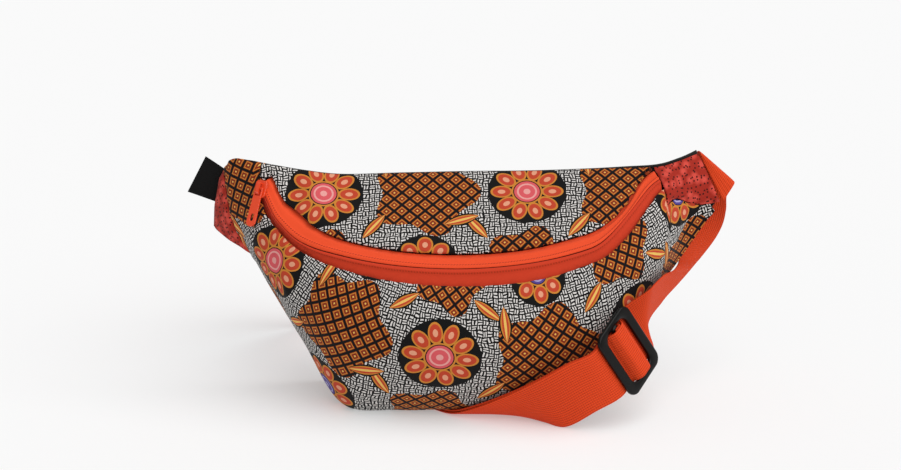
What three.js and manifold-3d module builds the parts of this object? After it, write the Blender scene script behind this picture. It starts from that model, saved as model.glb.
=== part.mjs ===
import * as THREE from 'three';
import { mergeVertices } from 'three/addons/utils/BufferGeometryUtils.js';
import Module from 'manifold-3d';

// A belt bag with a curved zip, standing on its base, with its waist belt laid round and under it.
// Lengths are millimetres, +Z is up, and the bag's front faces -Y.

const wasm = await Module();
wasm.setup();

// Cloth and webbing
const CLOTH = 1.5;
const BACK_CLOTH = 2;
const SEAM_OUT = 2.5;
const GAP = 0.3;
const WEBBING_WIDTH = 40;
const WEBBING = 1.4;
const LAYER_PITCH = WEBBING + 0.35;

// The middle of the footprint, which becomes the origin
const FOOTPRINT = { x: -3.42, y: 9.9 };

// Sections of the bag from the left end to the right end. x and back place the top of the section in plan,
// turn is the way it faces in degrees, lean shifts its lower end sideways, and lip is how far the back panel
// stands above the top seam. The other columns are the outline from the top seam to the back's lower edge:
// how far out from the back, and how high.
const SECTIONS = [
  { x: -170.5, back: 24, turn: -44, lean: -5, lip: 0, top: 143, shoulderOut: 3.4, shoulderUp: 133,
    bellyOut: 4.2, bellyUp: 124, heelOut: 3.4, heelUp: 115, footOut: 2.5, foot: 107.5 },
  { x: -161, back: 12, turn: -38, lean: -3, lip: -1, top: 159.5, shoulderOut: 5, shoulderUp: 143,
    bellyOut: 6, bellyUp: 126, heelOut: 5, heelUp: 112, footOut: 2.5, foot: 102 },
  { x: -148, back: 5, turn: -22, lean: 0, lip: -1.3, top: 161.5, shoulderOut: 9, shoulderUp: 141,
    bellyOut: 14, bellyUp: 118, heelOut: 9, heelUp: 102, footOut: 2.5, foot: 92 },
  { x: -132, back: 1, turn: -10, lean: 0, lip: -1.3, top: 159.7, shoulderOut: 20, shoulderUp: 134,
    bellyOut: 31, bellyUp: 102, heelOut: 17, heelUp: 77, footOut: 2.5, foot: 66 },
  { x: -110, back: 0, turn: -3, lean: 0, lip: -1.3, top: 156.2, shoulderOut: 42, shoulderUp: 117,
    bellyOut: 57, bellyUp: 77, heelOut: 33, heelUp: 43, footOut: 2.5, foot: 34 },
  { x: -84, back: 0, turn: 0, lean: 0, lip: -1.3, top: 153.4, shoulderOut: 56, shoulderUp: 110,
    bellyOut: 75, bellyUp: 62, heelOut: 53, heelUp: 5, footOut: 2.5, foot: 1 },
  { x: -45, back: 0, turn: 0, lean: 0, lip: -1.3, top: 154.4, shoulderOut: 65, shoulderUp: 105.5,
    bellyOut: 87, bellyUp: 57, heelOut: 59, heelUp: 2.5, footOut: 2.5, foot: 0.5 },
  { x: 0, back: 0, turn: 0, lean: 0, lip: -1.3, top: 155.4, shoulderOut: 67, shoulderUp: 104,
    bellyOut: 91, bellyUp: 56, heelOut: 61, heelUp: 2.5, footOut: 2.5, foot: 0.5 },
  { x: 45, back: 0, turn: 0, lean: 0, lip: -1.3, top: 155.9, shoulderOut: 65, shoulderUp: 107.5,
    bellyOut: 87, bellyUp: 57, heelOut: 59, heelUp: 2.5, footOut: 2.5, foot: 0.5 },
  { x: 84, back: 0, turn: 0, lean: 0, lip: -1.2, top: 157.2, shoulderOut: 55, shoulderUp: 114.5,
    bellyOut: 74, bellyUp: 63, heelOut: 51, heelUp: 6, footOut: 2.5, foot: 1 },
  { x: 110, back: 0, turn: 3, lean: 0, lip: -0.4, top: 157.9, shoulderOut: 40, shoulderUp: 125,
    bellyOut: 54, bellyUp: 80, heelOut: 32, heelUp: 44, footOut: 2.5, foot: 34 },
  { x: 132, back: 1, turn: 8, lean: 0, lip: 0.5, top: 158.3, shoulderOut: 18, shoulderUp: 142,
    bellyOut: 29, bellyUp: 106, heelOut: 17, heelUp: 80, footOut: 2.5, foot: 67 },
  { x: 147, back: 6, turn: 14, lean: 2, lip: 1, top: 160.8, shoulderOut: 8, shoulderUp: 149,
    bellyOut: 12, bellyUp: 127, heelOut: 9, heelUp: 107, footOut: 3.5, foot: 90 },
  { x: 160, back: 14, turn: 22, lean: 12, lip: 1, top: 163.6, shoulderOut: 5, shoulderUp: 155,
    bellyOut: 7.5, bellyUp: 147, heelOut: 9.5, heelUp: 139, footOut: 11, foot: 131 },
];
const LAST = SECTIONS.length - 1;
const BASE_END = 4;

// Dents and pleats in the cloth: where along the sections and round the outline, how deep, how wide.
const FOLDS = [
  { k: 3.75, t: 0.35, depth: -3.2, wide: 0.28, tall: 0.3 },
  { k: 4.4, t: 0.3, depth: 1.8, wide: 0.3, tall: 0.3 },
  { k: 5.3, t: 0.28, depth: -1.6, wide: 0.25, tall: 0.22 },
  { k: 10.6, t: 0.35, depth: -1.8, wide: 0.3, tall: 0.28 },
  { k: 4.2, t: 1.75, depth: -1.6, wide: 0.25, tall: 0.5 },
  { k: 9.7, t: 1.8, depth: -1.6, wide: 0.25, tall: 0.5 },
];

// The strip of floor that the belt takes under the bag, and how high it lifts the cloth
const CROSSING = { x: 9, y: -56, heading: 133, half: 24, fade: 17, lift: 3.9 };

// Zip
const TAPE = 12;
const ZIP_SLOT = 0.4;
// The width of each tape that shows beside the seam, section by section
const LOWER_SHOWN = [5.5, 5.5, 5.5, 5, 4.4, 6.3, 8.6, 9.6, 9.6, 7.2, 8.8, 10, 10, 10];
const UPPER_SHOWN = [9, 9, 9, 9.3, 12, 12, 12, 12, 12, 11.6, 5.4, 9, 9, 9];
const ZIP_LEFT = 2.62;
const ZIP_LEFT_TOP = 3;
const ZIP_CLIMB_LEFT = { from: 3.35, over: 0.95, rise: 0.47 };
const ZIP_CLIMB_RIGHT = { from: 9, over: 2, rise: 0.52 };
const ZIP_END_TURN = 0.04;
const SLIDER_AT = 2.77;
const SLIDER = { length: 12, width: 9, thick: 2, bridgeWidth: 2.2, bridgeBar: 1.2, cavity: 6 };
const PULL = { length: 27, width: 7, neck: 6.2, thick: 1.4, bar: 1.4, window: 5.2, windowWidth: 4.2,
  hole: 5.3, holeWidth: 2.4, holeFromEnd: 5 };
const PULL_CLEAR = 0.45;

// Wings
const WING_LEFT = { atTop: 0.4, atFoot: 2 };
const WING_RIGHT = { top: 10.85, from: 11.2, turn: 1.1, depth: 1.3, arcPower: 2.5, seam: 0.05 };
const FRONT_RIGHT = 12.85;

// Label tab: outer edge and the edge sewn into the seam, in its own upright plane
const LABEL = { y: 26.3, thick: 1.2, topOut: [-180.5, 157.5], topIn: [-167.5, 147.5], footIn: [-174, 123.5],
  footOut: [-194, 132] };

// Adjuster, a three-bar slide: its place, the way its bars lie and the way the belt runs through it
const ADJUSTER = { at: [108.6, -73.5, 50.9], bars: [0.514, 0.172, -0.84], run: [-0.508, -0.728, -0.46],
  length: 52, width: 39.5, thick: 3.2, outerBar: 7.2, centreBar: 4.8, end: 5, corner: 7, bevel: 0.5 };
const BELT_SHIFT = 0.5;

// Clasp, behind the bag
const CLASP = { at: [-68, 60, 4.25], heading: 113.5, length: 64, width: 48, thick: 5, bar: 5, slot: 9,
  corner: 7, bevel: 0.6 };

// Smooth curve through equally spaced values, with straight ends
function spline(values, position) {
  const index = Math.min(Math.max(Math.floor(position), 0), values.length - 2);
  const f = position - index;
  const b = values[index];
  const c = values[index + 1];
  const a = index > 0 ? values[index - 1] : 2 * b - c;
  const d = index + 2 < values.length ? values[index + 2] : 2 * c - b;
  return 0.5 * (2 * b + (c - a) * f + (2 * a - 5 * b + 4 * c - d) * f * f
    + (3 * b - a - 3 * c + d) * f * f * f);
}

const COLUMNS = Object.fromEntries(Object.keys(SECTIONS[0]).map((name) => [name,
  SECTIONS.map((row) => row[name])]));
const column = (name, k) => spline(COLUMNS[name], k);

// A point of section k, so far out from the back and so high
function sectionPoint(k, out, up) {
  const turn = THREE.MathUtils.degToRad(column('turn', k));
  const top = column('top', k);
  const lean = column('lean', k) * (top - up) / (top - column('foot', k));
  return new THREE.Vector3(column('x', k) + lean + out * Math.sin(turn),
    column('back', k) - out * Math.cos(turn), up);
}

// The lowest that cloth can lie: the floor, or the belt where it crosses under the bag
function restHeight(x, y) {
  const heading = THREE.MathUtils.degToRad(CROSSING.heading);
  const aside = Math.abs((y - CROSSING.y) * Math.cos(heading) - (x - CROSSING.x) * Math.sin(heading));
  const away = THREE.MathUtils.smoothstep(aside, CROSSING.half, CROSSING.half + CROSSING.fade);
  return CROSSING.lift * (1 - away);
}

// The bag's outer skin: k runs along the sections, t from the top seam (0) past the shoulder (1), belly (2)
// and heel (3) to the back's lower edge (4)
function skin(k, t) {
  const out = [SEAM_OUT, ...['shoulder', 'belly', 'heel', 'foot'].map((name) => column(`${name}Out`, k))];
  const up = [column('top', k), ...['shoulder', 'belly', 'heel'].map((name) => column(`${name}Up`, k)),
    column('foot', k)];
  let fold = 0;
  for (const { k: k0, t: t0, depth, wide, tall } of FOLDS) {
    fold += depth * Math.exp(-(((k - k0) / wide) ** 2) - ((t - t0) / tall) ** 2);
  }
  const seam = THREE.MathUtils.smoothstep(t, 0, 0.25);
  const point = sectionPoint(k, spline(out, t) + fold * seam, spline(up, t));
  point.z = Math.max(point.z, restHeight(point.x, point.y));
  return point;
}

const STEP = 1e-3;
function alongK(surface, k, t) {
  return surface(k + STEP, t).sub(surface(k - STEP, t)).divideScalar(2 * STEP);
}
function alongT(surface, k, t) {
  return surface(k, t + STEP).sub(surface(k, t - STEP)).divideScalar(2 * STEP);
}
function outward(surface, k, t) {
  return alongT(surface, k, t).cross(alongK(surface, k, t)).normalize();
}

// A sewn panel: the patch place(p, q) of a surface, p and q from 0 to 1, with a wall of cloth behind it
function panel(surface, place, columns, rows, wall) {
  const outer = [];
  const inner = [];
  for (let j = 0; j <= rows; j += 1) {
    for (let i = 0; i <= columns; i += 1) {
      const [k, t] = place(i / columns, j / rows);
      const point = surface(k, t);
      outer.push(point);
      inner.push(point.clone().addScaledVector(outward(surface, k, t), -wall));
    }
  }
  const count = outer.length;
  const at = (i, j) => j * (columns + 1) + i;
  const index = [];
  for (let j = 0; j < rows; j += 1) {
    for (let i = 0; i < columns; i += 1) {
      const [a, b, c, d] = [at(i, j), at(i + 1, j), at(i + 1, j + 1), at(i, j + 1)];
      index.push(a, d, b, b, d, c);
      index.push(a + count, b + count, d + count, b + count, c + count, d + count);
    }
  }
  const rim = (u, v) => index.push(v, u, u + count, v, u + count, v + count);
  for (let i = 0; i < columns; i += 1) {
    rim(at(i + 1, 0), at(i, 0));
    rim(at(i, rows), at(i + 1, rows));
  }
  for (let j = 0; j < rows; j += 1) {
    rim(at(0, j), at(0, j + 1));
    rim(at(columns, j + 1), at(columns, j));
  }
  const geometry = new THREE.BufferGeometry().setFromPoints([...outer, ...inner]);
  return geometry.setIndex(index);
}

// Where the zip's middle runs, and where its tapes end above and below it
function zipLine(k) {
  const [left, right] = [ZIP_CLIMB_LEFT, ZIP_CLIMB_RIGHT];
  return 1 - left.rise * THREE.MathUtils.smoothstep(left.from - k, 0, left.over)
    - right.rise * THREE.MathUtils.smoothstep(k - right.from, 0, right.over);
}
// A width of the full tape as it shows at section k, and any width beyond the tape as it is
function tapeWidth(k, width) {
  const full = Math.abs(width);
  const shown = spline(width > 0 ? LOWER_SHOWN : UPPER_SHOWN, k);
  return Math.sign(width) * (Math.min(full / TAPE, 1) * shown + Math.max(full - TAPE, 0));
}
function zipEdge(width) {
  const from = ZIP_LEFT - 1;
  const count = 240;
  const line = [];
  for (let i = 0; i <= count; i += 1) {
    const k = from + (WING_RIGHT.from + 1 - from) * i / count;
    const [t, slope] = [zipLine(k), (zipLine(k + STEP) - zipLine(k - STEP)) / (2 * STEP)];
    const [across, along] = [alongT(skin, k, t), alongK(skin, k, t)];
    const path = along.clone().addScaledVector(across, slope);
    const aside = path.clone().cross(outward(skin, k, t)).setLength(tapeWidth(k, width));
    const area = along.clone().cross(across).lengthSq();
    const shiftK = aside.clone().cross(across).dot(along.clone().cross(across)) / area;
    const shiftT = along.clone().cross(aside).dot(along.clone().cross(across)) / area;
    line.push([k + shiftK, t + shiftT]);
  }
  return line;
}
const zipEdges = new Map();
function zipOffset(k, width) {
  if (!zipEdges.has(width)) zipEdges.set(width, zipEdge(width));
  const line = zipEdges.get(width);
  const next = Math.max(line.findIndex(([at]) => at >= k), 1);
  const [before, after] = [line[next - 1], line[next]];
  const f = THREE.MathUtils.clamp((k - before[0]) / (after[0] - before[0]), 0, 1);
  return Math.max(before[1] + (after[1] - before[1]) * f, 0.05);
}

const lerp = THREE.MathUtils.lerp;
const kGap = GAP / 14;

// The right wing's edge over the zip's end, and where the zip ends against it at a width from its middle
function wingFrom(t) {
  return lerp(WING_RIGHT.top, WING_RIGHT.from, THREE.MathUtils.clamp(t / WING_RIGHT.turn, 0, 1));
}
const zipEnds = new Map();
function zipRight(width) {
  if (!zipEnds.has(width)) {
    let k = WING_RIGHT.from;
    for (let i = 0; i < 40; i += 1) k = lerp(k, wingFrom(zipOffset(k, width)) - WING_RIGHT.seam, 0.5);
    zipEnds.set(width, k);
  }
  return zipEnds.get(width);
}
const FRONT_ZIP_RIGHT = zipRight(TAPE + GAP);
const TOP_ZIP_RIGHT = zipRight(-TAPE - GAP);

// The front panel's upper edge: the top seam left of the zip, then the zip, then the right wing
function wingArc(k) {
  const share = Math.max(0, k - WING_RIGHT.from) / (LAST - WING_RIGHT.from);
  return WING_RIGHT.depth + (BASE_END - WING_RIGHT.depth) * share ** WING_RIGHT.arcPower;
}
function frontTop(k) {
  const zip = zipOffset(THREE.MathUtils.clamp(k, ZIP_LEFT, FRONT_ZIP_RIGHT), TAPE + GAP);
  const left = THREE.MathUtils.clamp((k - ZIP_LEFT) / ZIP_END_TURN + 1, 0, 1);
  const right = THREE.MathUtils.clamp((k - FRONT_ZIP_RIGHT) / (WING_RIGHT.from - FRONT_ZIP_RIGHT), 0, 1);
  return lerp(left * zip, wingArc(k) + 0.03, right);
}
const frontLeft = (q) => lerp(WING_LEFT.atTop, WING_LEFT.atFoot, q);

// Columns along the sections, between the places where an edge turns
const ZIP_COLUMNS = 36;
const WING_COLUMNS = 7;
const FRONT_COLUMNS = [
  { to: ZIP_LEFT - ZIP_END_TURN, columns: 5 },
  { to: ZIP_LEFT, columns: 1 },
  { to: FRONT_ZIP_RIGHT, columns: ZIP_COLUMNS },
  { to: WING_RIGHT.from, columns: 1 },
  { to: FRONT_RIGHT, columns: WING_COLUMNS },
];
const RIGHT_COLUMNS = [{ to: FRONT_RIGHT, columns: WING_COLUMNS }, { to: LAST, columns: 1 }];
const countOf = (spans) => spans.reduce((sum, span) => sum + span.columns, 0);
function columnAt(spans, start, p) {
  let from = start;
  let left = p * countOf(spans);
  for (const { to, columns } of spans) {
    if (left <= columns + 1e-6) return lerp(from, to, left / columns);
    left -= columns;
    from = to;
  }
  return from;
}
const frontPlace = (p, q) => {
  const k = columnAt(FRONT_COLUMNS, frontLeft(q) + kGap, p);
  return [k, lerp(frontTop(k), BASE_END, q)];
};
const wingLeftPlace = (p, q) => [lerp(0, frontLeft(q) - kGap, p), q * BASE_END];
const wingRightPlace = (p, q) => {
  const k = columnAt(RIGHT_COLUMNS, wingFrom(q * WING_RIGHT.depth), p);
  return [k, q * wingArc(k)];
};
const zipLeft = (width) => lerp(ZIP_LEFT, ZIP_LEFT_TOP, Math.max(-width, 0) / (TAPE + GAP));
const topCorner = zipOffset(TOP_ZIP_RIGHT, -TAPE - GAP);
const TOP_COLUMNS = [{ to: ZIP_LEFT_TOP, columns: 2 }, { to: TOP_ZIP_RIGHT, columns: ZIP_COLUMNS }];
function topFoot(k) {
  const width = -(TAPE + GAP) * Math.min((k - ZIP_LEFT) / (ZIP_LEFT_TOP - ZIP_LEFT), 1);
  return zipOffset(k, width) - 0.02;
}
const topPlace = (p, q) => {
  const right = wingFrom(q * topCorner) - WING_RIGHT.seam;
  const k = columnAt([TOP_COLUMNS[0], { ...TOP_COLUMNS[1], to: right }], ZIP_LEFT + kGap / 2, p);
  return [k, q * topFoot(k)];
};
const tapePlace = (inner, edge) => (p, q) => {
  const width = inner < edge ? lerp(inner, edge, q) : lerp(edge, inner, q);
  const k = lerp(zipLeft(width) + kGap, zipRight(width), p);
  return [k, zipOffset(k, width)];
};

// The back panel's face at the wearer's side, from the right end to the left, and from its lip over the top
// seam down to its lower edge
function backFace(fromRight, q) {
  const k = LAST - fromRight;
  const foot = column('footOut', k) - SEAM_OUT;
  const edge = sectionPoint(k, foot, column('foot', k));
  const low = Math.max(edge.z, restHeight(edge.x, edge.y) + GAP);
  return sectionPoint(k, lerp(0, foot, q) - BACK_CLOTH, lerp(column('top', k) + column('lip', k), low, q));
}

// Webbing along rows of its two edges, a and b: smooth curves paced by the distance from row to row
function webbing(rows, steps) {
  const last = rows.length - 1;
  const middle = rows.map(({ a, b }) => a.clone().add(b).multiplyScalar(0.5));
  const chord = middle.slice(1).map((point, i) => point.distanceTo(middle[i]));
  const slope = (name, i) => {
    const rate = (n) => rows[n + 1][name].clone().sub(rows[n][name]).divideScalar(chord[n]);
    if (i === 0 || i === last) return rate(Math.min(i, last - 1));
    return rate(i - 1).multiplyScalar(chord[i]).addScaledVector(rate(i), chord[i - 1])
      .divideScalar(chord[i - 1] + chord[i]);
  };
  const at = (name, i, f) => {
    const ends = rows[i][name].clone().lerp(rows[i + 1][name], f * f * (3 - 2 * f));
    ends.addScaledVector(slope(name, i), chord[i] * f * (1 - f) ** 2);
    return ends.addScaledVector(slope(name, i + 1), -chord[i] * f * f * (1 - f));
  };
  const middleAt = (i, f) => at('a', i, f).add(at('b', i, f)).multiplyScalar(0.5);
  const points = [];
  for (let n = 0; n <= last * steps; n += 1) {
    const i = Math.min(Math.floor(n / steps), last - 1);
    const f = n / steps - i;
    const [a, b] = [at('a', i, f), at('b', i, f)];
    const ahead = middleAt(i, Math.min(f + 0.02, 1)).sub(middleAt(i, Math.max(f - 0.02, 0)));
    const face = ahead.cross(a.clone().sub(b)).normalize().multiplyScalar(WEBBING / 2);
    const ring = [a.clone().add(face), b.clone().add(face), b.clone().sub(face), a.clone().sub(face)];
    points.push(...ring.map((point) => point.setZ(Math.max(point.z, 0))));
  }
  const index = [0, 2, 1, 0, 3, 2];
  for (let i = 0; i < last * steps; i += 1) {
    for (let side = 0; side < 4; side += 1) {
      const [p, q] = [4 * i + side, 4 * i + (side + 1) % 4];
      index.push(p, q, p + 4, q, q + 4, p + 4);
    }
  }
  const end = 4 * last * steps;
  index.push(end, end + 1, end + 2, end, end + 2, end + 3);
  return new THREE.BufferGeometry().setFromPoints(points).setIndex(index);
}
const edges = ({ ax, ay, az, bx, by, bz }) => ({ a: new THREE.Vector3(ax, ay, az),
  b: new THREE.Vector3(bx, by, bz) });

// The same run of webbing as a second layer on its other face, taken the other way
function returnLayer(rows) {
  const middle = rows.map(({ a, b }) => a.clone().add(b).multiplyScalar(0.5));
  return rows.map(({ a, b }, i) => {
    const ahead = middle[Math.min(i + 1, rows.length - 1)].clone().sub(middle[Math.max(i - 1, 0)]);
    const shift = ahead.cross(a.clone().sub(b)).normalize().multiplyScalar(LAYER_PITCH);
    return { a: a.clone().add(shift), b: b.clone().add(shift) };
  }).reverse();
}

// A frame of a hard piece: across its bars, along the belt's run, and out of its face
function pieceFrame(at, bars, run) {
  const across = new THREE.Vector3(...bars).normalize();
  const out = new THREE.Vector3(...run).cross(across).normalize();
  const along = across.clone().cross(out);
  const matrix = new THREE.Matrix4().makeBasis(along, across, out).setPosition(...at);
  const place = (x, y, z) => new THREE.Vector3(x, y, z).applyMatrix4(matrix);
  const belt = (rows, shift, aSide) => rows.map(({ run: x, out: z }) => ({
    a: place(x, shift + aSide * WEBBING_WIDTH / 2, z), b: place(x, shift - aSide * WEBBING_WIDTH / 2, z) }));
  return { matrix, place, belt };
}

function roundedRect(shape, length, width, corner) {
  const [x, y] = [length / 2, width / 2];
  shape.moveTo(-x + corner, -y).lineTo(x - corner, -y);
  shape.absarc(x - corner, -y + corner, corner, -Math.PI / 2, 0, false);
  shape.absarc(x - corner, y - corner, corner, 0, Math.PI / 2, false);
  shape.absarc(-x + corner, y - corner, corner, Math.PI / 2, Math.PI, false);
  shape.absarc(-x + corner, -y + corner, corner, Math.PI, 1.5 * Math.PI, false);
  return shape;
}
function slot(fromX, toX, width, corner = 1) {
  const hole = roundedRect(new THREE.Path(), toX - fromX, width, corner);
  const shift = (fromX + toX) / 2;
  const moved = hole.getPoints(2).map((point) => new THREE.Vector2(point.x + shift, point.y));
  return new THREE.Path().setFromPoints(moved);
}
function plate(shape, thick, bevel, segments = 4) {
  const geometry = new THREE.ExtrudeGeometry(shape, { depth: thick - 2 * bevel, bevelEnabled: bevel > 0,
    bevelThickness: bevel, bevelSize: bevel, bevelOffset: -bevel, bevelSegments: 1,
    curveSegments: segments });
  return geometry.translate(0, 0, bevel - thick / 2);
}

const adjuster = pieceFrame(ADJUSTER.at, ADJUSTER.bars, ADJUSTER.run);
function adjusterGeometry() {
  const { length, width, thick, outerBar, centreBar, end, corner, bevel } = ADJUSTER;
  const shape = roundedRect(new THREE.Shape(), width, length, corner);
  const edge = width / 2 - outerBar;
  shape.holes.push(slot(-edge, -centreBar / 2, length - 2 * end));
  shape.holes.push(slot(centreBar / 2, edge, length - 2 * end));
  return plate(shape, thick, bevel);
}

const claspHeading = THREE.MathUtils.degToRad(CLASP.heading);
const claspRun = [Math.cos(claspHeading), Math.sin(claspHeading), 0];
const clasp = pieceFrame(CLASP.at, [-claspRun[1], claspRun[0], 0], claspRun);
function claspGeometry() {
  const { length, width, thick, bar, slot: opening, corner, bevel } = CLASP;
  const shape = roundedRect(new THREE.Shape(), length, width, corner);
  const edge = length / 2 - bar;
  shape.holes.push(slot(-edge, opening - edge, WEBBING_WIDTH + 2));
  shape.holes.push(slot(edge - opening, edge, WEBBING_WIDTH + 2));
  return plate(shape, thick, bevel);
}

// Belt rows from the right wing to the adjuster: over the crest of its fold, down behind the wing and forward
const WING_RUN = [
  { ax: 162.2, ay: 12.6, az: 162.2, bx: 178.6, by: 3.8, bz: 131.6 },
  { ax: 162.4, ay: 12.8, az: 163.4, bx: 186.2, by: 9.7, bz: 142.0 },
  { ax: 161.8, ay: 16.6, az: 163.7, bx: 186.7, by: 13.0, bz: 142.4 },
  { ax: 160.3, ay: 21.8, az: 161.5, bx: 186.3, by: 18.0, bz: 140.3 },
  { ax: 156.5, ay: 25.9, az: 153.6, bx: 183.7, by: 24.0, bz: 130.6 },
  { ax: 153.4, ay: 28.0, az: 139.4, bx: 184.3, by: 30.0, bz: 117.7 },
  { ax: 150.7, ay: 26.5, az: 121.0, bx: 183.1, by: 38.0, bz: 103.3 },
  { ax: 149.4, ay: 22.0, az: 103.3, bx: 177.9, by: 41.0, bz: 90.8 },
  { ax: 150.5, ay: 14.0, az: 88.9, bx: 169.7, by: 38.0, bz: 80.5 },
  { ax: 145.7, ay: -8.5, az: 86.8, bx: 160.0, by: 23.0, bz: 75.4 },
  { ax: 135.3, ay: -33.0, az: 90.3, bx: 148.2, by: 0.0, bz: 71.9 },
  { ax: 127.2, ay: -51.0, az: 90.1, bx: 135.5, by: -21.0, bz: 66.4 },
  { ax: 121.5, ay: -60.1, az: 88.1, bx: 124.0, by: -44.1, bz: 57.6 },
];
// Under the right bar, over the centre bar and under the left bar
const ADJUSTER_RUN = [
  { run: -21.5, out: -2.8 }, { run: -14, out: -2.8 }, { run: -10.8, out: -2.75 }, { run: -9, out: -1.6 },
  { run: -7.2, out: 1.4 }, { run: -5, out: 4 }, { run: 0, out: 4.6 }, { run: 5, out: 4 },
  { run: 7.2, out: 1.4 }, { run: 9, out: -1.6 }, { run: 10.8, out: -2.75 }, { run: 14, out: -2.8 },
  { run: 21.5, out: -2.8 },
];
// From the adjuster down to the floor, under the front of the bag and out behind it
const UNDER_RUN = [
  { ax: 67.5, ay: -95.2, az: 49.7, bx: 87.0, by: -90.2, bz: 14.2 },
  { ax: 47.0, ay: -93.0, az: 36.8, bx: 66.8, by: -85.0, bz: 0.8 },
  { ax: 27.0, ay: -84.8, az: 23.0, bx: 54.0, by: -77.0, bz: 0.7 },
  { ax: 7.0, ay: -75.5, az: 10.7, bx: 44.5, by: -69.0, bz: 0.7 },
  { ax: -8.0, ay: -67.0, az: 3.0, bx: 36.0, by: -60.5, bz: 0.7 },
  { ax: -20.0, ay: -55.5, az: 0.8, bx: 26.0, by: -48.0, bz: 0.7 },
  { ax: -33.0, ay: -39.0, az: 0.7, bx: 9.5, by: -29.0, bz: 0.7 },
  { ax: -49.0, ay: -22.0, az: 0.7, bx: -14.0, by: -3.0, bz: 0.7 },
];
// Round the clasp's near bar
const CLASP_RUN = [
  { run: -56, out: -3.55 }, { run: -40, out: -3.55 }, { run: -32, out: -3.5 }, { run: -27.4, out: -3.5 },
  { run: -25, out: -2.6 }, { run: -24.2, out: 0 }, { run: -25, out: 2.6 }, { run: -27.4, out: 3.5 },
  { run: -32, out: 3.5 }, { run: -40, out: 1.2 }, { run: -56, out: -1.7 },
];
// Round the adjuster's centre bar, where the doubled end is sewn
const SEWN_RUN = [
  { run: 21.5, out: -4.6 }, { run: 13.5, out: -4.6 }, { run: 9, out: -4.2 }, { run: 5, out: -3.2 },
  { run: 2.2, out: -2.75 }, { run: -1, out: -2.7 }, { run: -3.6, out: -2.35 }, { run: -4, out: 0 },
  { run: -3.6, out: 2.35 }, { run: -1, out: 2.7 }, { run: 1.6, out: 2.7 },
];
const underRun = UNDER_RUN.map(edges);
const beltLongRows = [...WING_RUN.map(edges), ...adjuster.belt(ADJUSTER_RUN, -BELT_SHIFT, -1), ...underRun,
  ...clasp.belt(CLASP_RUN, 0, 1), ...returnLayer(underRun), ...adjuster.belt(SEWN_RUN, -BELT_SHIFT, -1)];

// The short belt: sewn along the back of the left wing, then down behind the bag to the clasp's far bar
const SHORT_SEWN = [{ k: 0.5, up: 146 }, { k: 0.85, up: 146.5 }, { k: 1.2, up: 146 }];
function sewnRow({ k, up }) {
  const out = -BACK_CLOTH - 2 * GAP - WEBBING / 2;
  return { a: sectionPoint(k, out, up), b: sectionPoint(k, out, up - WEBBING_WIDTH) };
}
const SHORT_RUN = [
  { ax: -146.0, ay: 27.0, az: 139.0, bx: -154.0, by: 25.0, bz: 100.5 },
  { ax: -136.0, ay: 54.0, az: 121.0, bx: -153.0, by: 49.0, bz: 85.0 },
  { ax: -123.0, ay: 80.0, az: 92.0, bx: -148.0, by: 70.0, bz: 63.0 },
  { ax: -106.0, ay: 101.0, az: 58.0, bx: -135.0, by: 90.0, bz: 33.0 },
  { ax: -91.0, ay: 115.0, az: 25.0, bx: -123.0, by: 102.0, bz: 10.0 },
];
const CLASP_FAR_RUN = [
  { run: 46, out: 4.6 }, { run: 32, out: 3.5 }, { run: 27.4, out: 3.5 }, { run: 25, out: 2.6 },
  { run: 24.2, out: 0 }, { run: 25, out: -2.6 }, { run: 27.4, out: -3.4 }, { run: 32, out: -3.4 },
  { run: 46, out: -3.5 },
];
const beltShortRows = [...SHORT_SEWN.map(sewnRow), ...SHORT_RUN.map(edges),
  ...clasp.belt(CLASP_FAR_RUN, 0, -1)];

// The slider's frame: its length hangs straight down the cloth, its face looks out of it
const sliderPoint = skin(SLIDER_AT, zipLine(SLIDER_AT));
const sliderOut = outward(skin, SLIDER_AT, zipLine(SLIDER_AT));
const sliderAcross = sliderOut.clone().cross(new THREE.Vector3(0, 0, -1)).normalize();
const sliderDown = sliderAcross.clone().cross(sliderOut);
const slider = pieceFrame(sliderPoint.toArray(), sliderAcross.toArray(), sliderDown.toArray());
const sliderTop = GAP + SLIDER.thick;
const pullAxis = sliderTop + PULL_CLEAR + PULL.thick / 2;

function solid(geometry) {
  const bare = geometry.clone();
  bare.deleteAttribute('normal');
  bare.deleteAttribute('uv');
  const merged = mergeVertices(bare.index ? bare.toNonIndexed() : bare, 1e-4);
  return new wasm.Manifold(new wasm.Mesh({ numProp: 3, vertProperties: merged.attributes.position.array,
    triVerts: new Uint32Array(merged.index.array) }));
}
function fromSolid(manifold) {
  const mesh = manifold.getMesh();
  const geometry = new THREE.BufferGeometry();
  geometry.setAttribute('position', new THREE.BufferAttribute(new Float32Array(mesh.vertProperties), 3));
  return geometry.setIndex(new THREE.BufferAttribute(new Uint32Array(mesh.triVerts), 1));
}

function sliderGeometry() {
  const { length, width, thick, bridgeWidth, bridgeBar, cavity } = SLIDER;
  const base = plate(roundedRect(new THREE.Shape(), length, width, 2.5), thick, 0.3);
  base.translate(0, 0, GAP + thick / 2);
  const rise = 2 * PULL_CLEAR + PULL.thick;
  const sink = 0.5;
  const arch = new THREE.Shape();
  const [x, inside] = [cavity / 2 + bridgeBar, cavity / 2];
  arch.moveTo(-x, -sink).lineTo(-x, rise).lineTo(-x + bridgeBar, rise + bridgeBar);
  arch.lineTo(x - bridgeBar, rise + bridgeBar).lineTo(x, rise).lineTo(x, -sink);
  arch.lineTo(inside, -sink).lineTo(inside, rise).lineTo(-inside, rise).lineTo(-inside, -sink);
  const bridge = new THREE.ExtrudeGeometry(arch, { depth: bridgeWidth, bevelEnabled: false });
  bridge.translate(0, 0, -bridgeWidth / 2).rotateX(Math.PI / 2).translate(0, 0, sliderTop);
  return fromSolid(solid(base).add(solid(bridge)));
}

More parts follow.
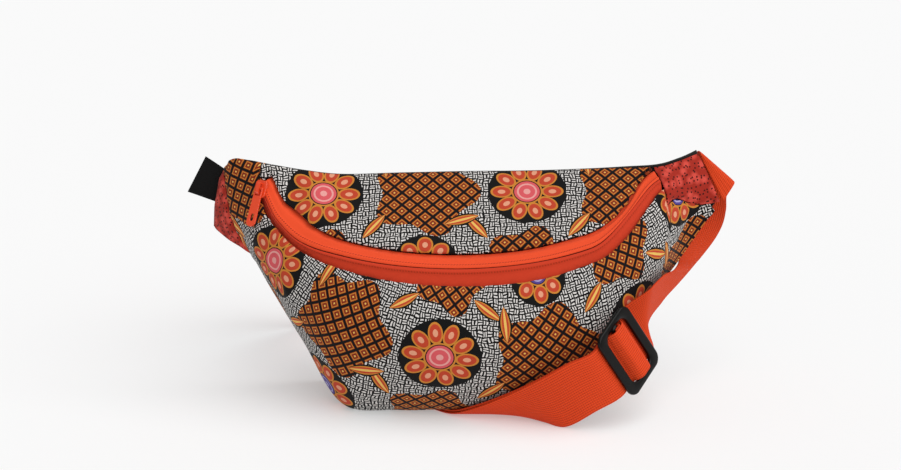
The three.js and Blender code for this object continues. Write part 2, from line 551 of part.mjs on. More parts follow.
function pullGeometry() {
  const { length, width, neck, thick, bar, window, windowWidth, hole, holeWidth, holeFromEnd } = PULL;
  const shape = new THREE.Shape();
  const top = -bar / 2;
  const tip = length - width / 2;
  shape.moveTo(top, -neck / 2).lineTo(window + 3, -neck / 2).lineTo(tip, -width / 2);
  shape.absarc(tip, 0, width / 2, -Math.PI / 2, Math.PI / 2, false);
  shape.lineTo(window + 3, neck / 2).lineTo(top, neck / 2).lineTo(top, -neck / 2);
  shape.holes.push(slot(bar / 2, window, windowWidth, 0.6));
  const holeEnd = length - holeFromEnd + holeWidth / 2;
  shape.holes.push(slot(holeEnd - hole, holeEnd, holeWidth, holeWidth / 2 - 0.02));
  return plate(shape, thick, 0.2, 6).translate(0, 0, pullAxis);
}

function labelGeometry() {
  const shape = new THREE.Shape([LABEL.topOut, LABEL.footOut, LABEL.footIn, LABEL.topIn].map(
    ([x, z]) => new THREE.Vector2(x, z)));
  const geometry = new THREE.ExtrudeGeometry(shape, { depth: LABEL.thick, bevelEnabled: false });
  return geometry.rotateX(Math.PI / 2).translate(0, LABEL.y + LABEL.thick / 2, 0);
}

const FINISH = {
  print: { color: '#4a3a33', roughness: 0.8, metalness: 0 },
  wing: { color: '#b8403a', roughness: 0.8, metalness: 0 },
  black: { color: '#17150f', roughness: 0.85, metalness: 0 },
  tape: { color: '#e4552f', roughness: 0.75, metalness: 0 },
  webbing: { color: '#dd4f2b', roughness: 0.7, metalness: 0 },
  enamel: { color: '#e6562f', roughness: 0.4, metalness: 0 },
  plastic: { color: '#1a1816', roughness: 0.45, metalness: 0 },
};

const bag = new THREE.Group();
bag.position.set(-FOOTPRINT.x, -FOOTPRINT.y, 0);
function add(name, finish, geometry, matrix) {
  const mesh = new THREE.Mesh(geometry, new THREE.MeshStandardMaterial(FINISH[finish]));
  mesh.name = name;
  if (matrix) mesh.applyMatrix4(matrix);
  bag.add(mesh);
}

add('front_panel', 'print', panel(skin, frontPlace, countOf(FRONT_COLUMNS), 15, CLOTH));
add('top_panel', 'print', panel(skin, topPlace, countOf(TOP_COLUMNS), 6, CLOTH));
add('zip_tape_upper', 'tape', panel(skin, tapePlace(-ZIP_SLOT / 2, -TAPE), ZIP_COLUMNS, 2, CLOTH));
add('zip_tape_lower', 'tape', panel(skin, tapePlace(ZIP_SLOT / 2, TAPE), ZIP_COLUMNS, 2, CLOTH));
add('wing_left', 'wing', panel(skin, wingLeftPlace, 6, 8, CLOTH));
add('wing_right', 'wing', panel(skin, wingRightPlace, countOf(RIGHT_COLUMNS), 8, CLOTH));
add('back_panel', 'black', panel(backFace, (p, q) => [LAST * p, q], 4 * LAST, 6, BACK_CLOTH));
add('label_tab', 'black', labelGeometry());
add('zip_slider', 'enamel', sliderGeometry(), slider.matrix);
add('zip_pull', 'enamel', pullGeometry(), slider.matrix);
add('belt_long', 'webbing', webbing(beltLongRows, 2));
add('belt_short', 'webbing', webbing(beltShortRows, 2));
add('adjuster', 'plastic', adjusterGeometry(), adjuster.matrix);
add('clasp', 'plastic', claspGeometry(), clasp.matrix);

const part = new THREE.Group();
part.add(bag);
export default part;
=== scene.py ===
import bpy
import numpy as np
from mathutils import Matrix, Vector


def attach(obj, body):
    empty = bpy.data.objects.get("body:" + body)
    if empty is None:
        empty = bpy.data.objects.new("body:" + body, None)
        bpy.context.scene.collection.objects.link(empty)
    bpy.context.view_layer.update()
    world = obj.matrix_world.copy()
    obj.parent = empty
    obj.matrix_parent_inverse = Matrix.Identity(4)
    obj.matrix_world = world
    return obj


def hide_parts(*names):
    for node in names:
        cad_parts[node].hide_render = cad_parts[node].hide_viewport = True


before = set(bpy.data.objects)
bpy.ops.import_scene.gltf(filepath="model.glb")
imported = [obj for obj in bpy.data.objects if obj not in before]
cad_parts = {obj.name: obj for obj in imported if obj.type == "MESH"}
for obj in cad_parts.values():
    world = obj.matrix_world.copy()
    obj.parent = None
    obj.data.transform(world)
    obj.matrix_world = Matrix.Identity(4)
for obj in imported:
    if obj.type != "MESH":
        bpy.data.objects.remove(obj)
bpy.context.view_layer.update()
scene = bpy.context.scene
print("frame loaded")

footprint = np.array([-3.42, 9.9, 0.0])  # middle of the base in the bag's own frame, mm
uvSpan = 500.0  # mm of cloth to one unit of UV


def toLinear(hexColour):
    # each channel c: c / 12.92 in the darks, ((c + 0.055) / 1.055) ^ 2.4 above them
    c = np.array([int(hexColour[i:i + 2], 16) for i in (1, 3, 5)]) / 255
    linear = np.where(c <= 0.04045, c / 12.92, ((c + 0.055) / 1.055) ** 2.4)
    return (*linear.tolist(), 1.0)


def addNode(tree, kind, *inputs, **settings):
    # inputs go to the sockets in order: a node, a (node, output) pair, a value, or None to leave one alone
    node = tree.nodes.new("ShaderNode" + kind)
    for name, value in settings.items():
        setattr(node, name, value)
    for socket, value in zip(node.inputs, inputs):
        if isinstance(value, bpy.types.Node):
            tree.links.new(value.outputs[0], socket)
        elif isinstance(value, tuple) and isinstance(value[0], bpy.types.Node):
            tree.links.new(value[0].outputs[value[1]], socket)
        elif value is not None:
            socket.default_value = value
    return node


def newMaterial(name, **values):
    material = bpy.data.materials.new(name)
    material.use_nodes = True
    shader = material.node_tree.nodes["Principled BSDF"]
    for key, value in values.items():
        shader.inputs[key.replace("_", " ")].default_value = value
    return material, material.node_tree, shader


# Shape of the bag
# A row is a section, left to right. x and back place its top in plan, turn is the way it faces in degrees,
# lean shifts its lower end sideways, lip is how far the back stands above the top seam.
# The rest is the outline from the top seam round the front to the back's lower edge: how far out, how high.
sectionColumns = ("x back turn lean lip top shoulderOut shoulderUp bellyOut bellyUp heelOut heelUp footOut "
                  "foot").split()
sectionRows = np.array([
    (-170.5, 24, -44, -5, 0, 143, 3.4, 133, 4.2, 124, 3.4, 115, 2.5, 107.5),
    (-161, 12, -38, -3, -1, 159.5, 5, 143, 6, 126, 5, 112, 2.5, 102),
    (-148, 5, -22, 0, -1.3, 161.5, 9, 141, 14, 118, 9, 102, 2.5, 92),
    (-132, 1, -10, 0, -1.3, 159.7, 20, 134, 31, 102, 17, 77, 2.5, 66),
    (-110, 0, -3, 0, -1.3, 156.2, 42, 117, 57, 77, 33, 43, 2.5, 34),
    (-84, 0, 0, 0, -1.3, 153.4, 56, 110, 75, 62, 53, 5, 2.5, 1),
    (-45, 0, 0, 0, -1.3, 154.4, 65, 105.5, 87, 57, 59, 2.5, 2.5, 0.5),
    (0, 0, 0, 0, -1.3, 155.4, 67, 104, 91, 56, 61, 2.5, 2.5, 0.5),
    (45, 0, 0, 0, -1.3, 155.9, 65, 107.5, 87, 57, 59, 2.5, 2.5, 0.5),
    (84, 0, 0, 0, -1.2, 157.2, 55, 114.5, 74, 63, 51, 6, 2.5, 1),
    (110, 0, 3, 0, -0.4, 157.9, 40, 125, 54, 80, 32, 44, 2.5, 34),
    (132, 1, 8, 0, 0.5, 158.3, 18, 142, 29, 106, 17, 80, 2.5, 67),
    (147, 6, 14, 2, 1, 160.8, 8, 149, 12, 127, 9, 107, 3.5, 90),
    (160, 14, 22, 12, 1, 163.6, 5, 155, 7.5, 147, 9.5, 139, 11, 131),
])
lastSection = len(sectionRows) - 1
cloth = {"wall": 1.5, "backWall": 2.0, "seamOut": 2.5}
crossing = {"x": 9.0, "y": -56.0, "heading": 133.0, "half": 24.0, "fade": 17.0, "lift": 3.9}

# Dents and pleats: where along the sections (k) and round the outline (t), depth in mm, spread, and slant
foldRows = np.array([
    (3.75, 0.35, -3.2, 0.28, 0.30, 0.0),
    (4.40, 0.30, 1.8, 0.30, 0.30, 0.0),
    (5.30, 0.28, -1.6, 0.25, 0.22, 0.0),
    (10.6, 0.35, -1.8, 0.30, 0.28, 0.0),
    (4.20, 1.75, -1.6, 0.25, 0.50, 0.0),
    (9.70, 1.80, -1.6, 0.25, 0.50, 0.0),
    (3.35, 1.90, -1.2, 0.10, 0.55, 0.25),
    (3.75, 2.20, 0.9, 0.12, 0.60, 0.20),
    (11.3, 2.10, -1.3, 0.10, 0.60, -0.20),
    (11.7, 2.30, 0.8, 0.12, 0.60, -0.25),
    (12.2, 2.30, -0.9, 0.10, 0.70, -0.20),
    (6.30, 0.40, 0.8, 0.35, 0.20, 0.3),
    (8.30, 0.42, -0.9, 0.40, 0.18, -0.4),
    (9.40, 0.35, 0.9, 0.25, 0.20, 0.3),
    (7.20, 2.70, -0.9, 0.55, 0.16, 0.0),
    (5.60, 2.60, 0.8, 0.50, 0.18, 0.2),
    (8.60, 2.50, 0.7, 0.50, 0.20, -0.2),
])


def splineAt(values, position):
    # smooth curve through equally spaced values (Catmull-Rom), straight at both ends; values run along axis 0
    padded = np.concatenate([2 * values[:1] - values[1:2], values, 2 * values[-1:] - values[-2:-1]])
    index = np.clip(np.floor(position).astype(int), 0, len(values) - 2)
    f = position - index
    if values.ndim == 1:
        a, b, c, d = (padded[index + n] for n in range(4))
    else:
        a, b, c, d = (np.take_along_axis(padded, (index + n)[None], 0)[0] for n in range(4))
    return 0.5 * (2 * b + (c - a) * f + (2 * a - 5 * b + 4 * c - d) * f ** 2
                  + (3 * b - a - 3 * c + d) * f ** 3)


def column(name, k):
    return splineAt(sectionRows[:, sectionColumns.index(name)], k)


def sectionPoint(k, out, up):
    # a point so far out from the back of section k, and so high
    turn = np.radians(column("turn", k))
    top = column("top", k)
    lean = column("lean", k) * (top - up) / (top - column("foot", k))
    return np.stack([column("x", k) + lean + out * np.sin(turn), column("back", k) - out * np.cos(turn), up], -1)


def smoothStep(value, low, high):
    f = np.clip((value - low) / (high - low), 0, 1)
    return f * f * (3 - 2 * f)


def restHeight(x, y):
    # the floor, lifted by the belt where it crosses under the bag
    heading = np.radians(crossing["heading"])
    aside = np.abs((y - crossing["y"]) * np.cos(heading) - (x - crossing["x"]) * np.sin(heading))
    return crossing["lift"] * (1 - smoothStep(aside, crossing["half"], crossing["half"] + crossing["fade"]))


def skin(k, t):
    # outer skin: t runs from the top seam (0) past the shoulder (1), belly (2) and heel (3) to the foot (4)
    k, t = np.broadcast_arrays(np.asarray(k, float), np.asarray(t, float))
    names = ("shoulder", "belly", "heel")
    out = np.stack([np.full(k.shape, cloth["seamOut"]), *(column(n + "Out", k) for n in names), column("footOut", k)])
    up = np.stack([column("top", k), *(column(n + "Up", k) for n in names), column("foot", k)])
    fold = np.zeros(k.shape)
    for k0, t0, depth, wide, tall, slant in foldRows:
        fold += depth * np.exp(-((k - k0 - slant * (t - t0)) / wide) ** 2 - ((t - t0) / tall) ** 2)
    points = sectionPoint(k, splineAt(out, t) + fold * smoothStep(t, 0, 0.25), splineAt(up, t))
    points[..., 2] = np.maximum(points[..., 2], restHeight(points[..., 0], points[..., 1]))
    return points


def unit(v):
    return v / np.maximum(np.linalg.norm(v, axis=-1, keepdims=True), 1e-9)


def facing(points):
    # outward normals of a grid whose rows run down the outline and columns along the sections
    return unit(np.cross(np.gradient(points, axis=0), np.gradient(points, axis=1)))


def arcLength(points, axis):
    # length along a grid's rows or columns, from 0 at its first line
    step = np.linalg.norm(np.diff(points, axis=axis), axis=-1)
    first = np.zeros_like(np.take(step, [0], axis))
    return np.concatenate([first, np.cumsum(step, axis)], axis)


def walledGrid(outer, wall):
    # a sheet: the grid, the same grid a wall's thickness behind it, and a rim round both
    rows, columns = outer.shape[:2]
    count = rows * columns
    index = np.arange(count).reshape(rows, columns)
    a, b, c, d = index[:-1, :-1], index[:-1, 1:], index[1:, 1:], index[1:, :-1]
    quads = [np.stack([a, d, c, b], -1).reshape(-1, 4), np.stack([a, b, c, d], -1).reshape(-1, 4) + count]
    for line in (index[0, ::-1], index[-1], index[:, 0], index[::-1, -1]):
        quads.append(np.stack([line[1:], line[:-1], line[:-1] + count, line[1:] + count], -1))
    points = np.concatenate([outer.reshape(-1, 3), (outer - facing(outer) * wall).reshape(-1, 3)])
    return points, np.concatenate(quads)


def makePiece(name, points, quads, uv, material):
    # points and uv are in mm; the mesh is in metres about the middle of the base, in place of the solid of its name
    mesh = bpy.data.meshes.new(name)
    mesh.from_pydata(((points - footprint) * 0.001).tolist(), [], quads.tolist())
    layer = mesh.uv_layers.new(name="cloth")
    layer.data.foreach_set("uv", (uv[quads.ravel()] / uvSpan + 0.5).astype(np.float32).ravel())
    mesh.polygons.foreach_set("use_smooth", np.ones(len(quads), bool))
    mesh.materials.append(material)
    piece = bpy.data.objects.new(name, mesh)
    scene.collection.objects.link(piece)
    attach(piece, "bag")
    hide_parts(name)
    return piece


# Zip
zipShape = {"tape": 12.0, "left": 2.62, "leftTop": 3.0, "endTurn": 0.04, "under": 1.6, "sink": 0.7, "coil": 1.0,
            "slot": 0.3, "ridge": 0.4, "tiltLower": 0.24, "tiltUpper": 0.08, "lift": 2.8,
            "coilAt": 2.0, "coilWide": 1.7, "slider": (0.08, 0.3), "end": (0.02, 0.2), "tuck": 2.0,
            "tuckFrom": (8.5, 12.2), "short": 0.25, "hem": (10.0, 12.0), "columns": 340}
zipClimb = {"left": (3.35, 0.95, 0.47), "right": (9.0, 2.0, 0.52)}  # from, over, rise
# width of each tape that shows beside the seam, section by section
lowerShown = np.array([5.5, 5.5, 5.5, 5, 4.4, 6.3, 8.6, 9.6, 9.6, 7.2, 8.8, 10, 10, 10])
upperShown = np.array([9, 9, 9, 9.3, 12, 12, 12, 12, 12, 11.6, 5.4, 9, 9, 9])


def zipLine(k):
    left, right = zipClimb["left"], zipClimb["right"]
    return 1 - left[2] * smoothStep(left[0] - k, 0, left[1]) - right[2] * smoothStep(k - right[0], 0, right[1])


def tapeWidth(k, width):
    # a width of the full tape as it shows at section k, and any width beyond the tape as it is
    full = abs(width)
    shown = splineAt(lowerShown if width > 0 else upperShown, k)
    return np.sign(width) * (min(full / zipShape["tape"], 1) * shown + max(full - zipShape["tape"], 0))


def zipEdge(k, width):
    # the line that runs a width in mm below the zip's middle, measured square to the zip on the cloth
    at = np.linspace(zipShape["left"] - 1, wingShape["right"] + 1, 600)
    h = 1e-3
    t = zipLine(at)
    across = (skin(at, t + h) - skin(at, t - h)) / (2 * h)
    along = (skin(at + h, t) - skin(at - h, t)) / (2 * h)
    path = along + across * ((zipLine(at + h) - zipLine(at - h)) / (2 * h))[:, None]
    face = np.cross(along, across)
    aside = unit(np.cross(path, -face)) * tapeWidth(at, width)[:, None]
    area = np.sum(face * face, -1)
    shiftK = np.sum(np.cross(aside, across) * face, -1) / area
    shiftT = np.sum(np.cross(along, aside) * face, -1) / area
    order = np.argsort(at + shiftK)
    return np.maximum(np.interp(k, (at + shiftK)[order], (t + shiftT)[order]), 0.05)


# Panels of the body
wingShape = {"leftTop": 0.4, "leftFoot": 2.0, "rightTop": 10.85, "right": 11.2, "turn": 1.1, "arcDepth": 1.3,
             "arcPower": 2.5, "frontEnd": 12.85, "seam": 0.05}
seamShape = {"depth": 1.1, "width": 2.6, "gap": 0.3, "pucker": 0.45, "pitch": 11.0, "reach": 7.0}
kGap = seamShape["gap"] / 14


def wingFrom(t):
    # the right wing's edge, slanting over the zip's end
    return wingShape["rightTop"] + (wingShape["right"] - wingShape["rightTop"]) * np.clip(t / wingShape["turn"], 0, 1)


def zipRight(width):
    # where the zip ends against the right wing, at a width from its middle
    k = np.array(wingShape["right"])
    for _ in range(40):
        k = (k + wingFrom(zipEdge(k, width)) - wingShape["seam"]) / 2
    return float(k)


def zipLeft(width):
    share = np.maximum(-width, 0) / (zipShape["tape"] + seamShape["gap"])
    return zipShape["left"] + (zipShape["leftTop"] - zipShape["left"]) * share


def wingArc(k):
    share = np.maximum(0, k - wingShape["right"]) / (lastSection - wingShape["right"])
    return wingShape["arcDepth"] + (4 - wingShape["arcDepth"]) * share ** wingShape["arcPower"]


frontZipEnd = zipRight(zipShape["tape"] + seamShape["gap"])
topZipEnd = zipRight(-zipShape["tape"] - seamShape["gap"])


def frontTop(k):
    # upper edge of the front: the top seam left of the zip, then the zip's edge, then the right wing's arc
    zipSide = zipEdge(np.clip(k, zipShape["left"], frontZipEnd), zipShape["tape"] + seamShape["gap"])
    left = np.clip((k - zipShape["left"]) / zipShape["endTurn"] + 1, 0, 1)
    right = np.clip((k - frontZipEnd) / (wingShape["right"] - frontZipEnd), 0, 1)
    return left * zipSide * (1 - right) + (wingArc(k) + 0.03) * right


def sewn(points, seams, gathers=()):
    # cloth dips at a sewn edge: depth * exp(-(distance / width)^2) from each named side, and puckers beside a
    # gathered one: height * sin(2 pi * length along the seam / pitch, drifting) * exp(-distance / reach)
    normals = facing(points)
    down, along = arcLength(points, 0), arcLength(points, 1)
    far = {"top": down, "foot": down[-1:] - down, "left": along, "right": along[:, -1:] - along}
    dip = sum(np.exp(-(far[side] / seamShape["width"]) ** 2) for side in seams) * seamShape["depth"]
    beat = {"top": along, "foot": along, "left": down, "right": down}
    waves = sum(np.sin(2 * np.pi * beat[side] / seamShape["pitch"] + 2.3 * np.sin(beat[side] / 17.0))
                * np.exp(-far[side] / seamShape["reach"]) for side in gathers) * seamShape["pucker"]
    return points - normals * (np.minimum(dip, seamShape["depth"]) - waves)[..., None]


def clothUv(points, middle):
    # lengths along and down the cloth, in mm, from the column at the bag's middle
    along, down = arcLength(points, 1), arcLength(points, 0)
    return np.stack([along - along[:, middle:middle + 1], -down], -1)


def flattened(points, middle, step=(6, 7), rounds=60):
    # the flat piece that a curved panel was cut from: every triangle of a coarse grid is turned to where it best
    # fits its neighbours and all corners are then moved to suit, over and over; the fine grid is read between
    rows, columns = (np.unique(np.r_[0:n:s, n - 1]) for n, s in zip(points.shape[:2], step))
    coarse = points[np.ix_(rows, columns)].reshape(-1, 3)
    flat = clothUv(points, middle)[np.ix_(rows, columns)].reshape(-1, 2)
    index = np.arange(len(coarse)).reshape(len(rows), len(columns))
    a, b, c, d = index[:-1, :-1], index[:-1, 1:], index[1:, 1:], index[1:, :-1]
    corners = np.concatenate([np.stack(s, -1).reshape(-1, 3) for s in ((a, d, b), (d, c, b))])
    first, second = (coarse[corners[:, n]] - coarse[corners[:, 0]] for n in (1, 2))
    base = np.linalg.norm(first, axis=1)
    lean = np.sum(first * second, 1) / base
    tall = np.linalg.norm(np.cross(first, second), axis=1) / base
    shape = np.stack([np.zeros((len(base), 2)), np.stack([base, 0 * base], 1), np.stack([lean, tall], 1)], 1)
    fromCorner, toCorner = corners, np.roll(corners, -1, 1)
    edge = np.roll(shape, -1, 1) - shape
    opposite = np.roll(edge, -1, 1), -np.roll(edge, 1, 1)
    cross = opposite[0][..., 0] * opposite[1][..., 1] - opposite[0][..., 1] * opposite[1][..., 0]
    weight = np.maximum(np.abs(np.sum(opposite[0] * opposite[1], -1) / cross), 0.05)
    matrix = np.zeros((len(coarse), len(coarse)))
    for i, j in ((fromCorner, toCorner), (toCorner, fromCorner)):
        np.add.at(matrix, (i, i), weight)
        np.add.at(matrix, (i, j), -weight)
    matrix[0, 0] += 1.0
    solve = np.linalg.inv(matrix)
    for _ in range(rounds):
        now = flat[toCorner] - flat[fromCorner]
        cosine = np.sum(weight * np.sum(edge * now, -1), 1)
        sine = np.sum(weight * (edge[..., 0] * now[..., 1] - edge[..., 1] * now[..., 0]), 1)
        turn = np.arctan2(sine, cosine)[:, None]
        placed = np.stack([edge[..., 0] * np.cos(turn) - edge[..., 1] * np.sin(turn),
                           edge[..., 0] * np.sin(turn) + edge[..., 1] * np.cos(turn)], -1) * weight[..., None]
        pull = np.zeros_like(flat)
        np.add.at(pull, toCorner, placed)
        np.add.at(pull, fromCorner, -placed)
        pull[0] += flat[0]
        flat = solve @ pull
    grid = flat.reshape(len(rows), len(columns), 2)
    wide = np.stack([[np.interp(np.arange(points.shape[1]), columns, line) for line in grid[..., n]] for n in (0, 1)])
    full = np.stack([[np.interp(np.arange(points.shape[0]), rows, line) for line in layer.T] for layer in wide])
    return np.moveaxis(full, 0, -1).swapaxes(0, 1)


def addPanel(name, points, seams, gathers, middle, material, wall):
    uv = flattened(points, middle).reshape(-1, 2)
    shaped, quads = walledGrid(sewn(points, seams, gathers), wall)
    return makePiece(name, shaped, quads, np.concatenate([uv, uv]), material)


# Printed plain-weave polyester: matt threads with a faint sheen, crisp dye edges, pattern on a black ground
inks = {"black": "#0a0808", "tick": "#dad6d2", "brick": "#842a14", "rust": "#983d16", "gold": "#c98030",
        "yellow": "#e4b85e", "orange": "#bd4228", "peach": "#e09c7c", "violet": "#50408a", "lilac": "#a8a0ca",
        "rose": "#d6585e", "blush": "#e49e98"}
printRepeat = {"width": 138.0, "height": 116.0, "dashCell": 3.7, "waver": 0.9}


def localField(tree, field, centre):
    # place of a point relative to the nearest copy of a motif
    half = (printRepeat["width"] / 2, printRepeat["height"] / 2, 1.0)
    moved = addNode(tree, "VectorMath", field, (*centre, 0.0), operation="SUBTRACT")
    return addNode(tree, "VectorMath", moved, half, tuple(-h for h in half), operation="WRAP")


def bands(tree, value, stops):
    # flat bands of colour by value
    ramp = addNode(tree, "ValToRGB", value)
    ramp.color_ramp.interpolation = "CONSTANT"
    while len(ramp.color_ramp.elements) < len(stops):
        ramp.color_ramp.elements.new(0.5)
    for element, (at, ink) in zip(ramp.color_ramp.elements, stops):
        element.position = at
        element.color = toLinear(inks[ink])
    return ramp


def polar(tree, local):
    place = addNode(tree, "SeparateXYZ", local)
    radius = addNode(tree, "VectorMath", local, operation="LENGTH")
    angle = addNode(tree, "Math", (place, 1), (place, 0), operation="ARCTAN2")
    return (radius, 1), angle


def daisy(tree, field, under, centre, radius, petals, heart, ring):
    # petals are ellipses set round a disc, drawn once in a sector that the angle wraps into, on a dark round
    local = localField(tree, field, centre)
    distance, angle = polar(tree, local)
    half = np.pi / petals
    sector = addNode(tree, "Math", angle, half, -half, operation="WRAP")
    outward = addNode(tree, "Math", addNode(tree, "Math", sector, operation="COSINE"), distance, operation="MULTIPLY")
    aside = addNode(tree, "Math", addNode(tree, "Math", sector, operation="SINE"), distance, operation="MULTIPLY")
    x = addNode(tree, "Math", outward, 1 / (0.3 * radius), -0.69 / 0.3, operation="MULTIPLY_ADD")
    y = addNode(tree, "Math", aside, 1 / (radius * 0.62 * np.tan(half)), operation="MULTIPLY")
    share = addNode(tree, "VectorMath", addNode(tree, "CombineXYZ", x, y), operation="LENGTH")
    dark = addNode(tree, "Math", distance, radius * 1.06, operation="LESS_THAN")
    paint = addNode(tree, "MixRGB", dark, under, toLinear(inks["black"]))
    petal = bands(tree, (share, 1), [(0.0, "peach"), (0.34, "orange"), (0.8, "gold")])
    paint = addNode(tree, "MixRGB", addNode(tree, "Math", (share, 1), 1.0, operation="LESS_THAN"), paint, petal)
    disc = bands(tree, addNode(tree, "Math", distance, 1 / radius, operation="MULTIPLY"),
                 [(0.0, ring), (0.09, heart), (0.22, ring), (0.27, heart), (0.345, "black"), (0.375, "gold")])
    inDisc = addNode(tree, "Math", distance, radius * 0.42, operation="LESS_THAN")
    return addNode(tree, "MixRGB", inDisc, paint, disc)


def lozengePatch(tree, field, under, centre, radius, size):
    # diamonds in rows, cut off by a wavy round edge: radius * (0.88 + 0.12 * cos(5 * angle))
    local = localField(tree, field, centre)
    distance, angle = polar(tree, local)
    wave = addNode(tree, "Math", addNode(tree, "Math", angle, 5.0, operation="MULTIPLY"), operation="COSINE")
    edge = addNode(tree, "Math", wave, radius * 0.12, radius * 0.88, operation="MULTIPLY_ADD")
    turned = addNode(tree, "VectorRotate", local, (0.0, 0.0, 0.0), (0.0, 0.0, 1.0), 0.785,
                     rotation_type="AXIS_ANGLE")
    cell = addNode(tree, "VectorMath", turned, (size / 2, size / 2, 1.0), (-size / 2, -size / 2, -1.0),
                   operation="WRAP")
    place = addNode(tree, "SeparateXYZ", addNode(tree, "VectorMath", cell, operation="ABSOLUTE"))
    share = addNode(tree, "Math", addNode(tree, "Math", (place, 0), (place, 1), operation="MAXIMUM"), 2 / size,
                    operation="MULTIPLY")
    diamonds = bands(tree, share, [(0.0, "yellow"), (0.16, "brick"), (0.5, "gold"), (0.66, "rust"), (0.76, "black")])
    inside = addNode(tree, "Math", distance, edge, operation="LESS_THAN")
    return addNode(tree, "MixRGB", inside, under, diamonds)


def leaf(tree, field, under, centre, angle, length, width):
    # a pointed leaf with a pale rib: half width * (1 - (x / half length)^2), in a dark outline
    local = addNode(tree, "VectorRotate", localField(tree, field, centre), (0.0, 0.0, 0.0), (0.0, 0.0, 1.0), angle,
                    rotation_type="AXIS_ANGLE")
    place = addNode(tree, "SeparateXYZ", local)
    along = addNode(tree, "Math", (place, 0), 2 / length, operation="MULTIPLY")
    square = addNode(tree, "Math", along, along, operation="MULTIPLY")
    edge = addNode(tree, "Math", square, -width / 2, width / 2, operation="MULTIPLY_ADD")
    aside = addNode(tree, "Math", (place, 1), operation="ABSOLUTE")
    share = addNode(tree, "Math", aside, addNode(tree, "Math", edge, 0.01, operation="MAXIMUM"), operation="DIVIDE")
    body = bands(tree, share, [(0.0, "yellow"), (0.2, "orange"), (0.5, "gold"), (0.72, "black")])
    inside = addNode(tree, "Math", aside, edge, operation="LESS_THAN")
    return addNode(tree, "MixRGB", inside, under, body)


def dashGround(tree, field):
    # a basket of short dashes: two to a cell, turned crosswise in every other cell, a little wavering
    noise = addNode(tree, "TexNoise", field, None, 0.11, noise_dimensions="2D")
    shift = addNode(tree, "VectorMath", (noise, 1), (-0.5, -0.5, 0.0), operation="ADD")
    waver = addNode(tree, "VectorMath", shift, tuple([printRepeat["waver"] * 4] * 3), field, operation="MULTIPLY_ADD")
    scaled = addNode(tree, "VectorMath", waver, tuple([1 / printRepeat["dashCell"]] * 3), operation="MULTIPLY")
    cell = addNode(tree, "SeparateXYZ", addNode(tree, "VectorMath", scaled, operation="FLOOR"))
    turned = addNode(tree, "Math", addNode(tree, "Math", (cell, 0), (cell, 1), operation="ADD"), 2.0,
                     operation="FLOORED_MODULO")
    local = addNode(tree, "SeparateXYZ", addNode(tree, "VectorMath", scaled, operation="FRACTION"))
    difference = addNode(tree, "Math", (local, 1), (local, 0), operation="SUBTRACT")
    along = addNode(tree, "Math", difference, turned, (local, 0), operation="MULTIPLY_ADD")
    both = addNode(tree, "Math", (local, 0), (local, 1), operation="ADD")
    across = addNode(tree, "Math", both, along, operation="SUBTRACT")
    pair = addNode(tree, "Math", addNode(tree, "Math", across, 2.0, operation="MULTIPLY"), operation="FRACT")
    inWidth = addNode(tree, "Math", pair, 0.5, 0.25, operation="COMPARE")
    inLength = addNode(tree, "Math", along, 0.5, 0.37, operation="COMPARE")
    dash = addNode(tree, "Math", inWidth, inLength, operation="MULTIPLY")
    return addNode(tree, "MixRGB", dash, toLinear(inks["black"]), toLinear(inks["tick"]))


def weaveBump(tree, shader, field, pitch, strength):
    # threads over and under: product of two sine waves across the cloth
    scaled = addNode(tree, "VectorMath", field, (np.pi / pitch, np.pi / pitch, 0.0), operation="MULTIPLY")
    waves = addNode(tree, "VectorMath", scaled, operation="SINE")
    place = addNode(tree, "SeparateXYZ", waves)
    height = addNode(tree, "Math", (place, 0), (place, 1), operation="MULTIPLY")
    bump = addNode(tree, "Bump", strength, 0.0002, None, height)
    tree.links.new(bump.outputs[0], shader.inputs["Normal"])


def clothField(tree):
    # UV brought back to mm of cloth
    uv = addNode(tree, "UVMap", uv_map="cloth")
    return addNode(tree, "VectorMath", uv, (uvSpan, uvSpan, 0.0), (-uvSpan / 2, -uvSpan / 2, 0.0),
                   operation="MULTIPLY_ADD")


def printedCloth(name, offset):
    material, tree, shader = newMaterial(name, Roughness=0.78, Sheen_Weight=0.05, Sheen_Roughness=0.5,
                                         Specular_IOR_Level=0.15)
    field = addNode(tree, "VectorMath", clothField(tree), (*offset, 0.0), operation="ADD")
    paint = dashGround(tree, field)
    w, h = printRepeat["width"], printRepeat["height"]
    paint = lozengePatch(tree, field, paint, (w * 0.5, 0.0), 38.0, 7.4)
    paint = lozengePatch(tree, field, paint, (0.0, h * 0.5), 30.0, 7.4)
    for centre, angle in (((0.21, 0.3), 0.6), ((0.77, 0.28), -0.7), ((0.25, 0.76), -0.9), ((0.75, 0.75), 0.9),
                          ((0.3, 0.22), 1.5), ((0.68, 0.8), -0.3)):
        paint = leaf(tree, field, paint, (w * centre[0], h * centre[1]), angle, 24.0, 9.0)
    paint = daisy(tree, field, paint, (0.0, 0.0), 25.0, 10, "rose", "blush")
    paint = daisy(tree, field, paint, (w * 0.5, h * 0.5), 21.0, 8, "violet", "lilac")
    tree.links.new(paint.outputs[0], shader.inputs["Base Color"])
    weaveBump(tree, shader, field, 0.55, 0.25)
    return material


frontPrint = printedCloth("printed plain-weave polyester, front", (14.0, 96.0))
topPrint = printedCloth("printed plain-weave polyester, top", (-40.0, 26.0))

